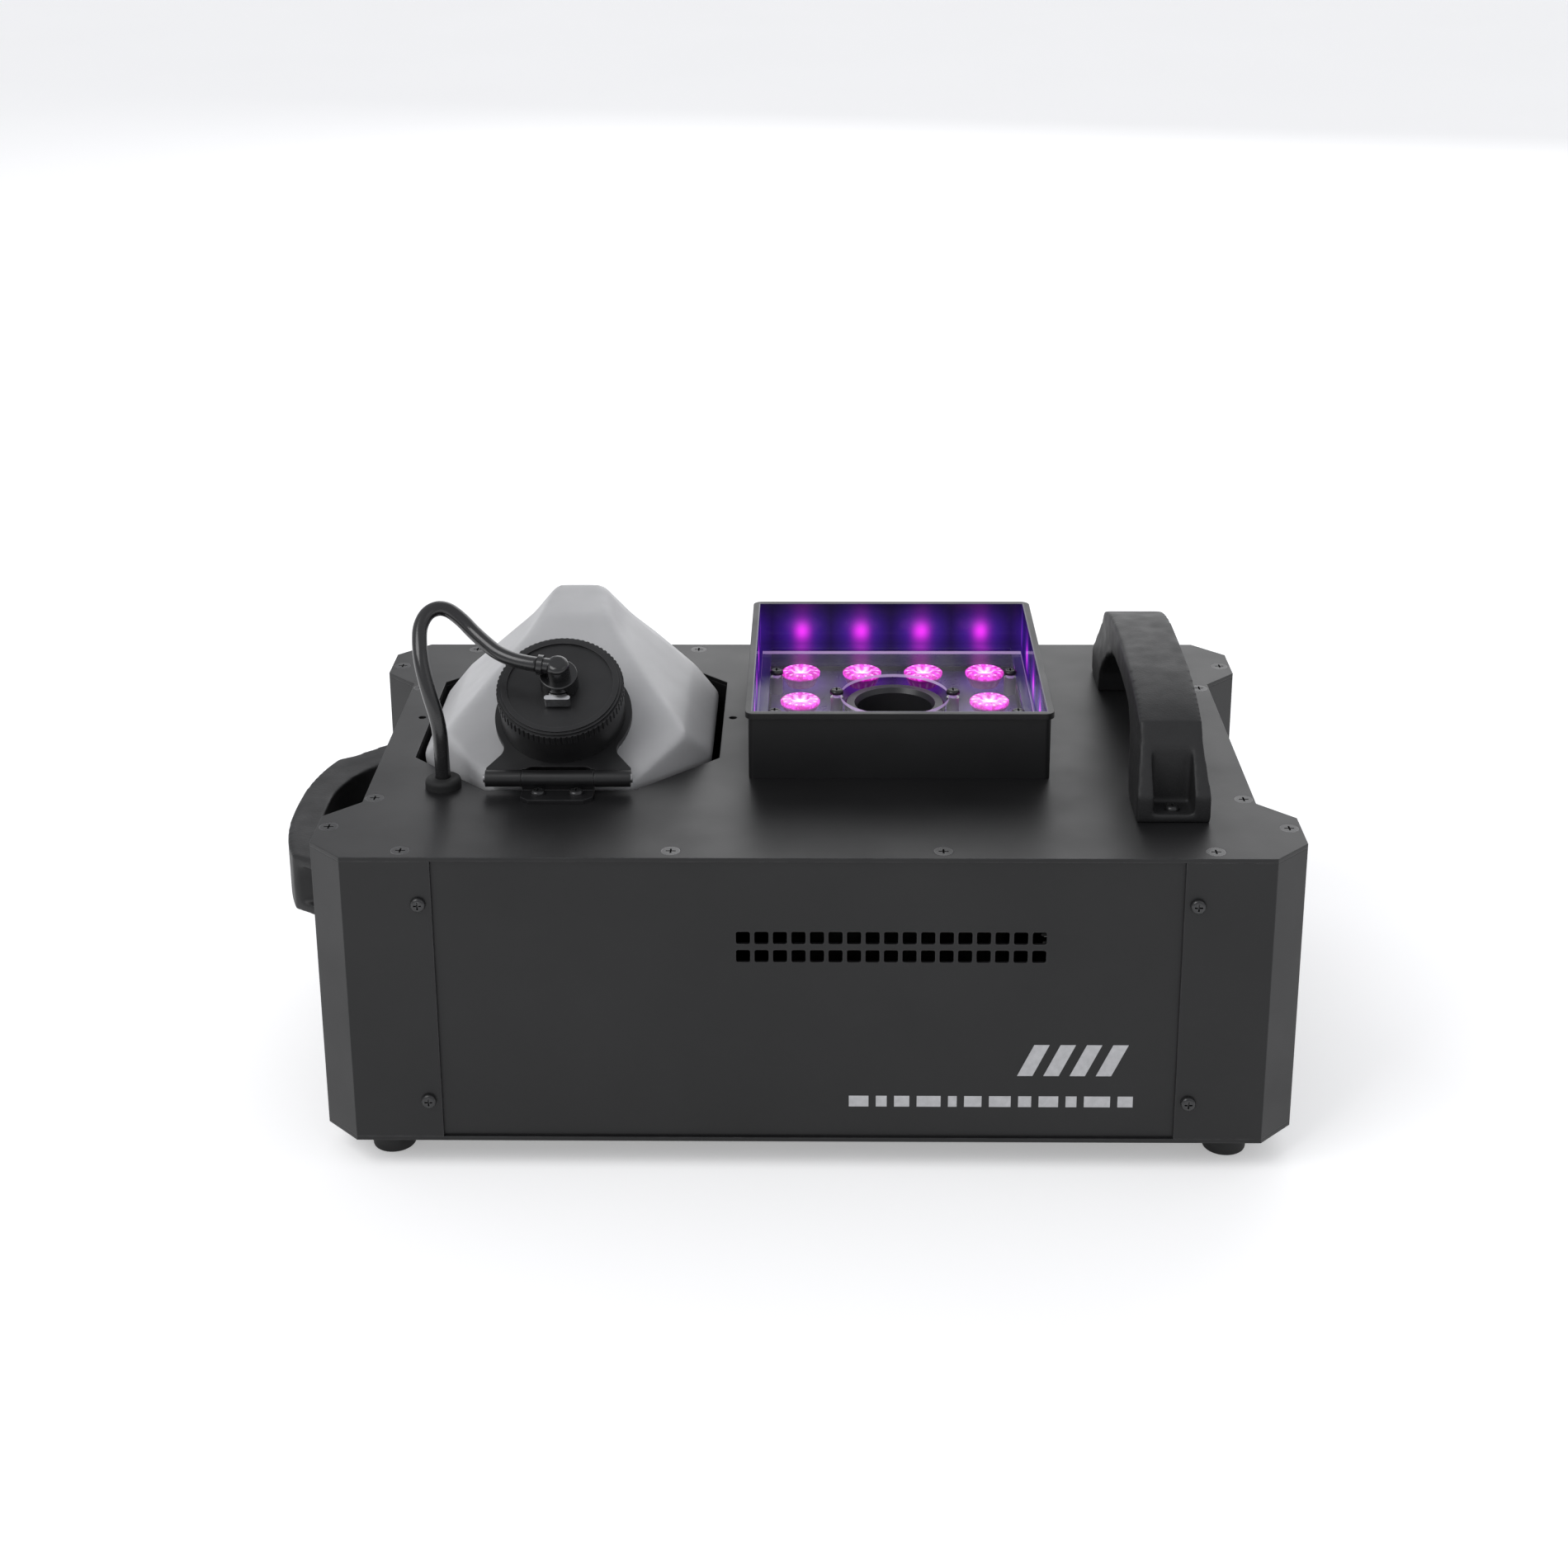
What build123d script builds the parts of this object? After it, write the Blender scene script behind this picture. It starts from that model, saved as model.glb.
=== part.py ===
from build123d import *
import math
import os

# Fog machine with an upward nozzle, a ring of LED lenses and a tilting fluid tank.
# X runs along the long side, Y from the front panel to the rear panel, Z up from the floor.
# The origin is on the floor, under the middle of the sheet-metal body.

os.makedirs("parts", exist_ok=True)

# ---------------------------------------------------------------- driving sizes (mm)
BODY_W = 450.0          # overall width of the sheet-metal body
BODY_D = 270.0          # overall depth
BODY_H = 144.0          # base plate underside to top plate face
FOOT_H = 15.0           # rubber foot height
PLATE_T = 2.0           # base and top plate sheet
SHEET_T = 1.5           # bent covers, panels and tray sheet
CORNER = 16.0           # plan chamfer at each corner
RECESS = 16.0           # depth of the waist in each side
RECESS_HALF = 75.5      # half length of the waist
COVER_FLANGE = 40.5     # how far the side covers wrap onto the front and rear
PANEL_LAP = 13.0        # panel sheet hidden behind each cover flange
FIT = 0.3               # clearance between pieces that move past each other
SLIP = 0.1              # clearance of a pin, screw or plug in its hole

Z_BASE = FOOT_H
Z_FLOOR = Z_BASE + PLATE_T
Z_TOP = FOOT_H + BODY_H
Z_CEIL = Z_TOP - PLATE_T
Y_PANEL = BODY_D / 2 - SHEET_T          # outer face of the front and rear panels
Y_INSIDE = Y_PANEL - SHEET_T            # inner face of both panels
SEAM_X = BODY_W / 2 - CORNER - COVER_FLANGE
WAIST_X = BODY_W / 2 - RECESS

# fasteners
SCREW_R = 1.95
HOLE_R = SCREW_R + SLIP
PAN_HEAD_R = 3.5
PAN_HEAD_H = 2.2
CSK_HEAD_R = 4.3
CSK_ANGLE = 100
PANEL_SCREW_X = SEAM_X + 6.0
PANEL_SCREW_Z = (Z_BASE + 21.0, Z_BASE + 121.0)
PANEL_SCREW_L = 7.0
PLATE_SCREW_L = 9.0
PLATE_SCREWS = [
    (SEAM_X + 14.0, BODY_D / 2 - 7.5),
    (61.0, BODY_D / 2 - 7.5),
    (BODY_W / 2 - 5.5, RECESS_HALF + 27.0),
    (WAIST_X - 5.0, RECESS_HALF - 5.0),
]

# lit hood and nozzle
HOOD_X, HOOD_Y = 43.5, 30.5
HOOD_W, HOOD_D, HOOD_H = 144.0, 156.0, 34.0
HOOD_WALL = 2.0
HOOD_LIP_H, HOOD_LIP_W = 3.0, 1.5
HOOD_FLANGE = 5.0
HOOD_R = 3.0
WELL_W, WELL_D = 122.0, 114.0           # opening in the top plate under the LED board
LED_BOARD_W, LED_BOARD_D, LED_BOARD_T = 126.0, 118.0, 2.0
LENS_R, LENS_H = 10.0, 8.0
LED_PITCH_X, LED_PITCH_Y = 32.0, 40.0
WINDOW_W, WINDOW_D, WINDOW_T = 137.0, 122.0, 2.0
WINDOW_GAP = 1.0                        # air between lens tops and window
LEDGE_W = 6.0
NOZZLE_R, NOZZLE_WALL = 19.0, 6.6
NOZZLE_DROP = 5.0                       # nozzle rim below the window face
WINDOW_HOLE_R = NOZZLE_R + NOZZLE_WALL + 2.0
WINDOW_SCREWS = [(60.5, 27.5), (60.5, -27.5), (-60.5, 27.5), (-60.5, -27.5), (29.5, 0), (-29.5, 0)]

# tank, hinge, collar and cap
TANK_X = -118.0
TANK_GAP = 3.5                          # air between the bottle and its well
TANK_HALF_W = 74.5
TANK_Y0, TANK_Y1 = -61.5, 117.0
TANK_CHAMFER = 39.0
TRAY_DEPTH = 105.0
BOTTLE_DEPTH = 94.0
BOTTLE_WALL = 2.0
BOTTLE_TILT = 30.0                      # slope of the filler facet and cap
RIDGE_HALF_W = 11.5
RIDGE_Y, RIDGE_H = 60.0, 61.0
HINGE_Y = -63.5
HINGE_H = 7.0                           # hinge pin above the top plate
KNUCKLE_R = 4.0
PIN_R = 2.0
LEAF_W = 34.0
KNUCKLE_SIDE_W = 17.0
COLLAR_T = 3.0
NECK_S = 37.5                           # hinge pin to cap axis, along the collar
COLLAR_R = 33.0
COLLAR_WAIST, COLLAR_WAIST_R = 54.0, 6.0
NECK_R, NECK_WALL = 21.0, 3.0
CAP_R, CAP_H, CAP_TOP_T = 30.4, 22.0, 3.0
CAP_RIBS = 72
KNURL_H, KNURL_D = 5.0, 0.6             # knurled band round the top of the cap
STEM_R = 7.0
COUPLING_R, COUPLING_H = 9.0, 9.0
ELBOW_R, ELBOW_ARM_R, ELBOW_H = 5.6, 3.7, 5.0
ELBOW_REACH = 9.5
ELBOW_TURN = 9.0
HOSE_R = 3.6
GROMMET_X, GROMMET_Y = -173.5, -57.0
GROMMET_R, GROMMET_H = 8.5, 5.0

# handles
HANDLE_W, GRIP_W = 34.0, 29.0
HANDLE_X = 167.6
TOP_HANDLE = dict(half=97.5, shoulder=75.0, shoulder_h=41.0, crest=51.0, gap_half=63.0)
SIDE_HANDLE = dict(half=75.0, shoulder=58.5, shoulder_h=39.0, crest=49.0, gap_half=48.0)
SIDE_HANDLE_Z = Z_BASE + 94.0
GRIP_T = 16.0
POCKET_W = 18.6
HANDLE_PAD = 4.0                        # sole left under each handle screw
SCREW_SET_IN = 7.0                      # handle screw in from the handle's end

# rear panel fittings
FAN_X, FAN_Z, FAN_SIZE, FAN_T = 158.0, Z_BASE + 78.0, 60.0, 20.0
FAN_BORE = 28.0
BEZEL_X, BEZEL_Z, BEZEL_W, BEZEL_H, BEZEL_T = 45.0, Z_BASE + 103.0, 110.0, 40.0, 3.0
DISPLAY_X, DISPLAY_W, DISPLAY_H = 73.0, 42.0, 18.0
BUTTON_R = 4.5
BUTTON_X = {"menu": 40.0, "down": 27.0, "up": 14.0, "enter": 1.0}
SOCKET_Z = Z_BASE + 42.0
DMX_IN_X, DMX_OUT_X = 34.0, -2.0
DMX_PLATE_W, DMX_PLATE_H, DMX_R = 26.0, 31.0, 9.5
INLET_X, INLET_W, INLET_H = 108.0, 31.0, 44.0
SWITCH_X, SWITCH_W, SWITCH_H = 72.0, 15.0, 22.0

# heater and pump
HEATER_W, HEATER_D, HEATER_H = 92.0, 70.0, 54.0
HEATER_Z = 56.0
JACKET_GAP = 8.0
JACKET_TOP = 118.0
PUMP_X, PUMP_Y, PUMP_Z = 142.0, -86.0, 52.0
PUMP_R, PUMP_L = 15.0, 62.0


# ---------------------------------------------------------------- shared shapes
def body_points(inset=0.0):
    """Plan outline of the body: chamfered corners and a waist in each side."""
    x, y = BODY_W / 2, BODY_D / 2
    quarter = [(x - RECESS, RECESS_HALF), (x, RECESS_HALF + RECESS), (x, y - CORNER), (x - CORNER, y)]
    left = [(-px, py) for px, py in reversed(quarter)]
    half = quarter + left
    return half + [(px, -py) for px, py in reversed(half)]


def tank_points(gap=0.0, back_gap=None, half_w=TANK_HALF_W, y0=TANK_Y0, y1=TANK_Y1, chamfer=TANK_CHAMFER):
    """Octagon of the tank well, drawn in by gap (and by back_gap at the rear)."""
    back = gap if back_gap is None else back_gap
    w, y0, y1 = half_w - gap, y0 + gap, y1 - back
    c = chamfer
    right = [(TANK_X + w - c, y0), (TANK_X + w, y0 + c), (TANK_X + w, y1 - c), (TANK_X + w - c, y1)]
    return right + [(2 * TANK_X - px, py) for px, py in reversed(right)]


def cross_recess(size, slot, depth):
    """Phillips slot cut into the top of a screw head that ends at z = 0."""
    Box(size, slot, depth, align=(Align.CENTER, Align.CENTER, Align.MAX), mode=Mode.SUBTRACT)
    Box(slot, size, depth, align=(Align.CENTER, Align.CENTER, Align.MAX), mode=Mode.SUBTRACT)


def pan_screw(length, head_r=PAN_HEAD_R, head_h=PAN_HEAD_H, shank_r=SCREW_R):
    """Pan-head screw along Z: head top at z = 0, bearing face at -head_h."""
    with BuildPart() as screw:
        with BuildSketch(Plane.XZ):
            with BuildLine():
                Line((0, 0), (head_r * 0.55, 0))
                SagittaArc((head_r * 0.55, 0), (head_r, -head_h * 0.75), head_h * 0.22)
                Polyline((head_r, -head_h * 0.75), (head_r, -head_h), (shank_r, -head_h),
                         (shank_r, -head_h - length), (0, -head_h - length), (0, 0))
            make_face()
        revolve(axis=Axis.Z)
        cross_recess(head_r * 1.1, 0.9, head_h * 0.6)
    return screw.part


def csk_screw(length):
    """Countersunk screw along Z with its face at z = 0."""
    cone = (CSK_HEAD_R - SCREW_R) / math.tan(math.radians(CSK_ANGLE / 2))
    with BuildPart() as screw:
        with BuildSketch(Plane.XZ):
            Polygon((0, 0), (CSK_HEAD_R, 0), (SCREW_R, -cone), (SCREW_R, -length), (0, -length), align=None)
        revolve(axis=Axis.Z)
        cross_recess(4.6, 0.9, 1.2)
    return screw.part


def save(builder, name):
    """Label a finished piece and write its STEP file."""
    builder.part.label = name
    export_step(builder.part, "parts/" + name + ".step")


def mirrored(points):
    """The four plan copies of each point."""
    return [(sx * x, sy * y) for x, y in points for sx in (1, -1) for sy in (1, -1)]


# ---------------------------------------------------------------- base plate and feet
FOOT_X, FOOT_Y, FOOT_R = BODY_W / 2 - 29.0, BODY_D / 2 - 23.0, 11.0
VENT_SLOTS = dict(length=46.0, width=4.0, pitch=9.0, count=7)

with BuildPart() as base_plate:
    with BuildSketch(Plane.XY.offset(Z_BASE)):
        Polygon(*body_points(), align=None)
        with GridLocations(2 * FOOT_X, 2 * FOOT_Y, 2, 2):
            Circle(HOLE_R, mode=Mode.SUBTRACT)
        with Locations((FAN_X - 10, 40), (HOOD_X, HOOD_Y)):
            with GridLocations(0, VENT_SLOTS["pitch"], 1, VENT_SLOTS["count"]):
                SlotOverall(VENT_SLOTS["length"], VENT_SLOTS["width"], mode=Mode.SUBTRACT)
    extrude(amount=PLATE_T)
save(base_plate, "base_plate")

FOOT_BORE_R, FOOT_BORE_H = PAN_HEAD_R + 1.5, FOOT_H - 5.0   # room for the screw head inside a foot
with BuildPart() as foot:
    with BuildSketch(Plane.XZ):
        Polygon((0, 0), (FOOT_R - 1, 0), (FOOT_R, FOOT_H), (0, FOOT_H), align=None)
    revolve(axis=Axis.Z)
    fillet(foot.edges().sort_by(Axis.Z)[0], 1.0)
    Cylinder(FOOT_BORE_R, FOOT_BORE_H, align=(Align.CENTER, Align.CENTER, Align.MIN), mode=Mode.SUBTRACT)
    Cylinder(HOLE_R, FOOT_H, align=(Align.CENTER, Align.CENTER, Align.MIN), mode=Mode.SUBTRACT)

with BuildPart() as rubber_feet:
    with GridLocations(2 * FOOT_X, 2 * FOOT_Y, 2, 2):
        add(foot.part)
save(rubber_feet, "rubber_feet")

foot_screw = pan_screw(FOOT_BORE_H)
with BuildPart() as feet_screws:
    with Locations(*[Location((x, y, FOOT_BORE_H - PAN_HEAD_H), (180, 0, 0))
                     for x, y in mirrored([(FOOT_X, FOOT_Y)])]):
        add(foot_screw)
save(feet_screws, "feet_screws")

# ---------------------------------------------------------------- top plate
HOSE_HOLE_R = GROMMET_R - 2.0
LEAF_SCREWS = [(TANK_X - 9.0, HINGE_Y - 6.5), (TANK_X + 9.0, HINGE_Y - 6.5)]
HANDLE_SCREW_Y = TOP_HANDLE["half"] - SCREW_SET_IN
EYELET_X, EYELET_Y, EYELET_R = 79.3, 29.0, 2.0

with BuildPart() as top_plate:
    with BuildSketch(Plane.XY.offset(Z_CEIL)):
        Polygon(*body_points(), align=None)
        Polygon(*tank_points(), align=None, mode=Mode.SUBTRACT)
        with Locations((HOOD_X, HOOD_Y)):
            Rectangle(WELL_W, WELL_D, mode=Mode.SUBTRACT)
        with Locations((GROMMET_X, GROMMET_Y)):
            Circle(HOSE_HOLE_R, mode=Mode.SUBTRACT)
        with Locations((TANK_X - EYELET_X, EYELET_Y), (TANK_X + EYELET_X, EYELET_Y)):
            Circle(EYELET_R, mode=Mode.SUBTRACT)
        with Locations(*LEAF_SCREWS, (HANDLE_X, HANDLE_SCREW_Y), (HANDLE_X, -HANDLE_SCREW_Y)):
            Circle(HOLE_R, mode=Mode.SUBTRACT)
    extrude(amount=PLATE_T)
    with Locations(*[(x, y, Z_TOP) for x, y in mirrored(PLATE_SCREWS)]):
        CounterSinkHole(HOLE_R, CSK_HEAD_R + SLIP, depth=PLATE_T * 2, counter_sink_angle=CSK_ANGLE)
save(top_plate, "top_plate")

plate_screw = csk_screw(PLATE_SCREW_L)
with BuildPart() as top_plate_screws:
    with Locations(*[(x, y, Z_TOP) for x, y in mirrored(PLATE_SCREWS)]):
        add(plate_screw)
save(top_plate_screws, "top_plate_screws")

# ---------------------------------------------------------------- front and rear panels
VENT_PITCH_X, VENT_PITCH_Z = 8.34, 9.1
VENT_W, VENT_H, VENT_R = 6.4, 6.2, 1.0
VENT_X, VENT_Z = 37.8, Z_BASE + 99.3
PANEL_HALF = SEAM_X + PANEL_LAP
FLANGE_D = 11.5                         # top flange that takes the plate screws


def panel_sheet(side):
    """Flat panel with a top flange turned inward; side is -1 at the front, 1 at the rear."""
    y_in = side * Y_INSIDE
    full_h = Z_CEIL - Z_FLOOR
    for half_w, height in ((SEAM_X - SLIP, full_h), (PANEL_HALF, full_h - SHEET_T - SLIP)):
        with BuildSketch(Plane.XY.offset(Z_FLOOR)) as sheet:
            with Locations((0, side * (Y_PANEL - SHEET_T / 2))):
                Rectangle(2 * half_w, SHEET_T)
        extrude(sheet.sketch, amount=height)
    with BuildSketch(Plane.XY.offset(Z_CEIL - SHEET_T)) as flange:
        with Locations((0, y_in - side * FLANGE_D / 2)):
            Rectangle(2 * (SEAM_X - 2), FLANGE_D)
        with Locations((61.0, side * PLATE_SCREWS[1][1]), (-61.0, side * PLATE_SCREWS[1][1])):
            Circle(HOLE_R, mode=Mode.SUBTRACT)
    extrude(flange.sketch, amount=SHEET_T)
    with BuildSketch(Plane.XZ.offset(-side * BODY_D / 2)) as holes:
        with Locations(*[(sx * PANEL_SCREW_X, z) for sx in (-1, 1) for z in PANEL_SCREW_Z]):
            Circle(HOLE_R)
    extrude(holes.sketch, amount=side * 4 * SHEET_T, mode=Mode.SUBTRACT)


def rear_cut(x, z, width, height):
    """Rectangular hole through the rear panel."""
    with BuildSketch(Plane.XZ.offset(-BODY_D / 2)) as opening:
        with Locations((x, z)):
            Rectangle(width, height)
    extrude(opening.sketch, amount=4 * SHEET_T, mode=Mode.SUBTRACT)


with BuildPart() as front_panel:
    panel_sheet(-1)
    with BuildSketch(Plane.XZ.offset(BODY_D / 2)):
        with Locations((VENT_X, VENT_Z)):
            with GridLocations(VENT_PITCH_X, VENT_PITCH_Z, 17, 2):
                RectangleRounded(VENT_W, VENT_H, VENT_R)
    extrude(amount=-4 * SHEET_T, mode=Mode.SUBTRACT)
save(front_panel, "front_panel")

INLET_BODY_W, INLET_BODY_H = INLET_W - 4, INLET_H - 4
with BuildPart() as rear_panel:
    panel_sheet(1)
    rear_cut(BEZEL_X, BEZEL_Z, BEZEL_W - 8, BEZEL_H - 8)
    rear_cut(INLET_X, SOCKET_Z, INLET_BODY_W + 2 * SLIP, INLET_BODY_H + 2 * SLIP)
    rear_cut(SWITCH_X, SOCKET_Z, SWITCH_W - 2 + 2 * SLIP, SWITCH_H - 2 + 2 * SLIP)
    with BuildSketch(Plane.XZ.offset(-BODY_D / 2)):
        with Locations((DMX_IN_X, SOCKET_Z), (DMX_OUT_X, SOCKET_Z)):
            Circle(DMX_R + 2 + SLIP)
        with Locations((FAN_X, FAN_Z)):
            for ring in range(1, 4):
                with PolarLocations(ring * 7.6, 6 * ring):
                    Circle(2.7)
            Circle(2.7)
    extrude(amount=4 * SHEET_T, mode=Mode.SUBTRACT)
save(rear_panel, "rear_panel")

# ---------------------------------------------------------------- side covers
with BuildPart() as cover_ring:
    with BuildSketch(Plane.XY.offset(Z_FLOOR)):
        Polygon(*body_points(), align=None)
        offset(amount=-SHEET_T, kind=Kind.INTERSECTION, mode=Mode.SUBTRACT)
    extrude(amount=Z_CEIL - Z_FLOOR)
    with BuildSketch(Plane.XY.offset(Z_CEIL - SHEET_T)):
        Polygon(*body_points(), align=None)
        offset(amount=-SHEET_T, kind=Kind.INTERSECTION, mode=Mode.REPLACE)
        offset(amount=-FLANGE_D, kind=Kind.INTERSECTION, mode=Mode.SUBTRACT)
        with Locations(*mirrored(PLATE_SCREWS)):
            Circle(HOLE_R, mode=Mode.SUBTRACT)
    extrude(amount=SHEET_T)
    with BuildSketch(Plane.XZ.offset(-BODY_D / 2 - 1)):
        with Locations(*[(sx * PANEL_SCREW_X, z) for sx in (-1, 1) for z in PANEL_SCREW_Z]):
            Circle(HOLE_R)
    extrude(amount=BODY_D + 2, mode=Mode.SUBTRACT)


def side_cover(side):
    """Half of the cover ring, from the seam outward; side is -1 at the left, 1 at the right."""
    with BuildPart() as cover:
        add(cover_ring.part)
        with BuildSketch(Plane.XY):
            with Locations((side * (SEAM_X + BODY_W / 2), 0)):
                Rectangle(BODY_W, BODY_D + 2)
        extrude(amount=Z_TOP, mode=Mode.INTERSECT)
    return cover


right_side_cover = side_cover(1)
save(right_side_cover, "right_side_cover")
left_cover_blank = side_cover(-1)
SIDE_SCREW_Y = SIDE_HANDLE["half"] - SCREW_SET_IN
with BuildPart() as left_side_cover:
    add(left_cover_blank.part)
    with BuildSketch(Plane.YZ.offset(-WAIST_X)):
        with Locations((SIDE_SCREW_Y, SIDE_HANDLE_Z), (-SIDE_SCREW_Y, SIDE_HANDLE_Z)):
            Circle(HOLE_R)
    extrude(amount=SHEET_T, mode=Mode.SUBTRACT)
save(left_side_cover, "left_side_cover")

panel_screw = pan_screw(PANEL_SCREW_L)
with BuildPart() as panel_screws:
    for side, turn in ((-1, 90), (1, -90)):
        with Locations(*[Location((sx * PANEL_SCREW_X, side * (BODY_D / 2 + PAN_HEAD_H), z), (turn, 0, 0))
                         for sx in (-1, 1) for z in PANEL_SCREW_Z]):
            add(panel_screw)
save(panel_screws, "panel_screws")


# ---------------------------------------------------------------- handles
END_H = 13.0                            # height of a handle's outer end
FINGER_SIDE_H = 12.0                    # where the finger gap starts to arch over
POCKET_L = 15.0


def make_handle(half, shoulder, shoulder_h, crest, gap_half):
    """Arched moulded grip along Y, standing on z = 0, with a screw pocket in each end."""
    inner_top = crest - GRIP_T
    side_h = FINGER_SIDE_H
    with BuildPart() as handle:
        with BuildSketch(Plane.YZ.offset(-HANDLE_W / 2)):
            with BuildLine():
                Polyline((-shoulder, shoulder_h), (-half, END_H), (-half, 0), (-gap_half - 3, 0),
                         (-gap_half + 1, side_h))
                Spline((-gap_half + 1, side_h), (-gap_half * 0.62, inner_top - 4.5), (0, inner_top),
                       (gap_half * 0.62, inner_top - 4.5), (gap_half - 1, side_h))
                Polyline((gap_half - 1, side_h), (gap_half + 3, 0), (half, 0), (half, END_H),
                         (shoulder, shoulder_h))
                Spline((shoulder, shoulder_h), (0, crest), (-shoulder, shoulder_h),
                       tangents=((-1, 0.42), (-1, -0.42)))
            make_face()
        extrude(amount=HANDLE_W)
        with BuildSketch(Plane.XZ.offset(-half - 1)):
            w, g = HANDLE_W / 2, GRIP_W / 2
            Polygon((-w, 0), (w, 0), (w, END_H), (g, shoulder_h * 0.8), (g, crest + 1), (-g, crest + 1),
                    (-g, shoulder_h * 0.8), (-w, END_H), align=None)
        extrude(amount=2 * half + 2, mode=Mode.INTERSECT)
        for end in (-1, 1):
            with Locations((0, end * half, HANDLE_PAD)):
                Box(POCKET_W, 2 * POCKET_L, crest, align=(Align.CENTER, Align.CENTER, Align.MIN),
                    mode=Mode.SUBTRACT)
            with Locations((0, end * (half - SCREW_SET_IN), 0)):
                Cylinder(HOLE_R, 3 * HANDLE_PAD, mode=Mode.SUBTRACT)
    return handle.part


top_grip = make_handle(**TOP_HANDLE)
with BuildPart() as top_handle:
    with Locations((HANDLE_X, 0, Z_TOP)):
        add(top_grip)
save(top_handle, "top_handle")

side_grip = make_handle(**SIDE_HANDLE)
side_place = Plane(origin=(-WAIST_X, 0, SIDE_HANDLE_Z), x_dir=(0, 0, 1), z_dir=(-1, 0, 0)).location
with BuildPart() as side_handle:
    with Locations(side_place):
        add(side_grip)
save(side_handle, "side_handle")

DECK_SCREW_L = 10.0
LEAF_T = 2.0
deck_screw = pan_screw(DECK_SCREW_L)
with BuildPart() as deck_screws:
    with Locations(*[(HANDLE_X, sy * HANDLE_SCREW_Y, Z_TOP + HANDLE_PAD + PAN_HEAD_H) for sy in (-1, 1)]):
        add(deck_screw)
    with Locations(*[(x, y, Z_TOP + LEAF_T + PAN_HEAD_H) for x, y in LEAF_SCREWS]):
        add(deck_screw)
    side_head_x = -WAIST_X - HANDLE_PAD - PAN_HEAD_H
    with Locations(*[Location((side_head_x, sy * SIDE_SCREW_Y, SIDE_HANDLE_Z), (0, -90, 0)) for sy in (-1, 1)]):
        add(deck_screw)
save(deck_screws, "deck_screws")

# ---------------------------------------------------------------- hood, LED board and window
HOOD_PLANE = Plane((HOOD_X, HOOD_Y, Z_TOP))
HOOD_IN_W, HOOD_IN_D = HOOD_W - 2 * HOOD_WALL, HOOD_D - 2 * HOOD_WALL
BOARD_Z = Z_TOP + LED_BOARD_T
LENS_TOP = BOARD_Z + LENS_H
WINDOW_Z = LENS_TOP + WINDOW_GAP
WINDOW_TOP = WINDOW_Z + WINDOW_T
LED_SPOTS = [(x * LED_PITCH_X, y * LED_PITCH_Y)
             for y in (-1, 0, 1) for x in (-1.5, -0.5, 0.5, 1.5) if y != 0 or abs(x) > 1]

with BuildPart() as hood:
    with BuildSketch(HOOD_PLANE):
        RectangleRounded(HOOD_W, HOOD_D, HOOD_R)
        Rectangle(HOOD_IN_W, HOOD_IN_D, mode=Mode.SUBTRACT)
    extrude(amount=HOOD_H)
    with BuildSketch(HOOD_PLANE.offset(HOOD_H - HOOD_LIP_H)):
        RectangleRounded(HOOD_W + 2 * HOOD_LIP_W, HOOD_D + 2 * HOOD_LIP_W, HOOD_R + HOOD_LIP_W)
        Rectangle(HOOD_IN_W, HOOD_IN_D, mode=Mode.SUBTRACT)
    extrude(amount=HOOD_LIP_H)
    with BuildSketch(HOOD_PLANE):
        Rectangle(HOOD_IN_W, HOOD_IN_D)
        Rectangle(HOOD_IN_W - 2 * HOOD_FLANGE, HOOD_IN_D - 2 * HOOD_FLANGE, mode=Mode.SUBTRACT)
    extrude(amount=SHEET_T)
save(hood, "hood")

FRAME_W, FRAME_D = HOOD_IN_W - 2 * SLIP, HOOD_IN_D - 2 * SLIP
with BuildPart() as window_frame:
    with BuildSketch(HOOD_PLANE.offset(SHEET_T)):
        Rectangle(FRAME_W, FRAME_D)
        Rectangle(FRAME_W - 2 * SHEET_T, FRAME_D - 2 * SHEET_T, mode=Mode.SUBTRACT)
    extrude(amount=WINDOW_Z - Z_TOP - SHEET_T)
    with BuildSketch(HOOD_PLANE.offset(WINDOW_Z - Z_TOP - SHEET_T)):
        Rectangle(FRAME_W, FRAME_D)
        Rectangle(FRAME_W - 2 * LEDGE_W, FRAME_D - 2 * LEDGE_W, mode=Mode.SUBTRACT)
    extrude(amount=SHEET_T)
save(window_frame, "window_frame")

with BuildPart() as led_board:
    with BuildSketch(HOOD_PLANE):
        Rectangle(LED_BOARD_W, LED_BOARD_D)
        Circle(NOZZLE_R + NOZZLE_WALL + 1, mode=Mode.SUBTRACT)
        with Locations(*WINDOW_SCREWS):
            Circle(HOLE_R, mode=Mode.SUBTRACT)
    extrude(amount=LED_BOARD_T)
save(led_board, "led_board")

with BuildPart() as lens:
    with BuildSketch(Plane.XZ):
        Polygon((0, 0), (LENS_R * 0.72, 0), (LENS_R, LENS_H - 2.2), (LENS_R, LENS_H - 1.0),
                (LENS_R - 0.8, LENS_H - 0.3), (LENS_R * 0.5, LENS_H), (LENS_R * 0.4, LENS_H - 1.2),
                (0, LENS_H - 1.6), align=None)
    revolve(axis=Axis.Z)

with BuildPart() as led_lenses:
    with Locations(*[(HOOD_X + x, HOOD_Y + y, BOARD_Z) for x, y in LED_SPOTS]):
        add(lens.part)
save(led_lenses, "led_lenses")

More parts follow.
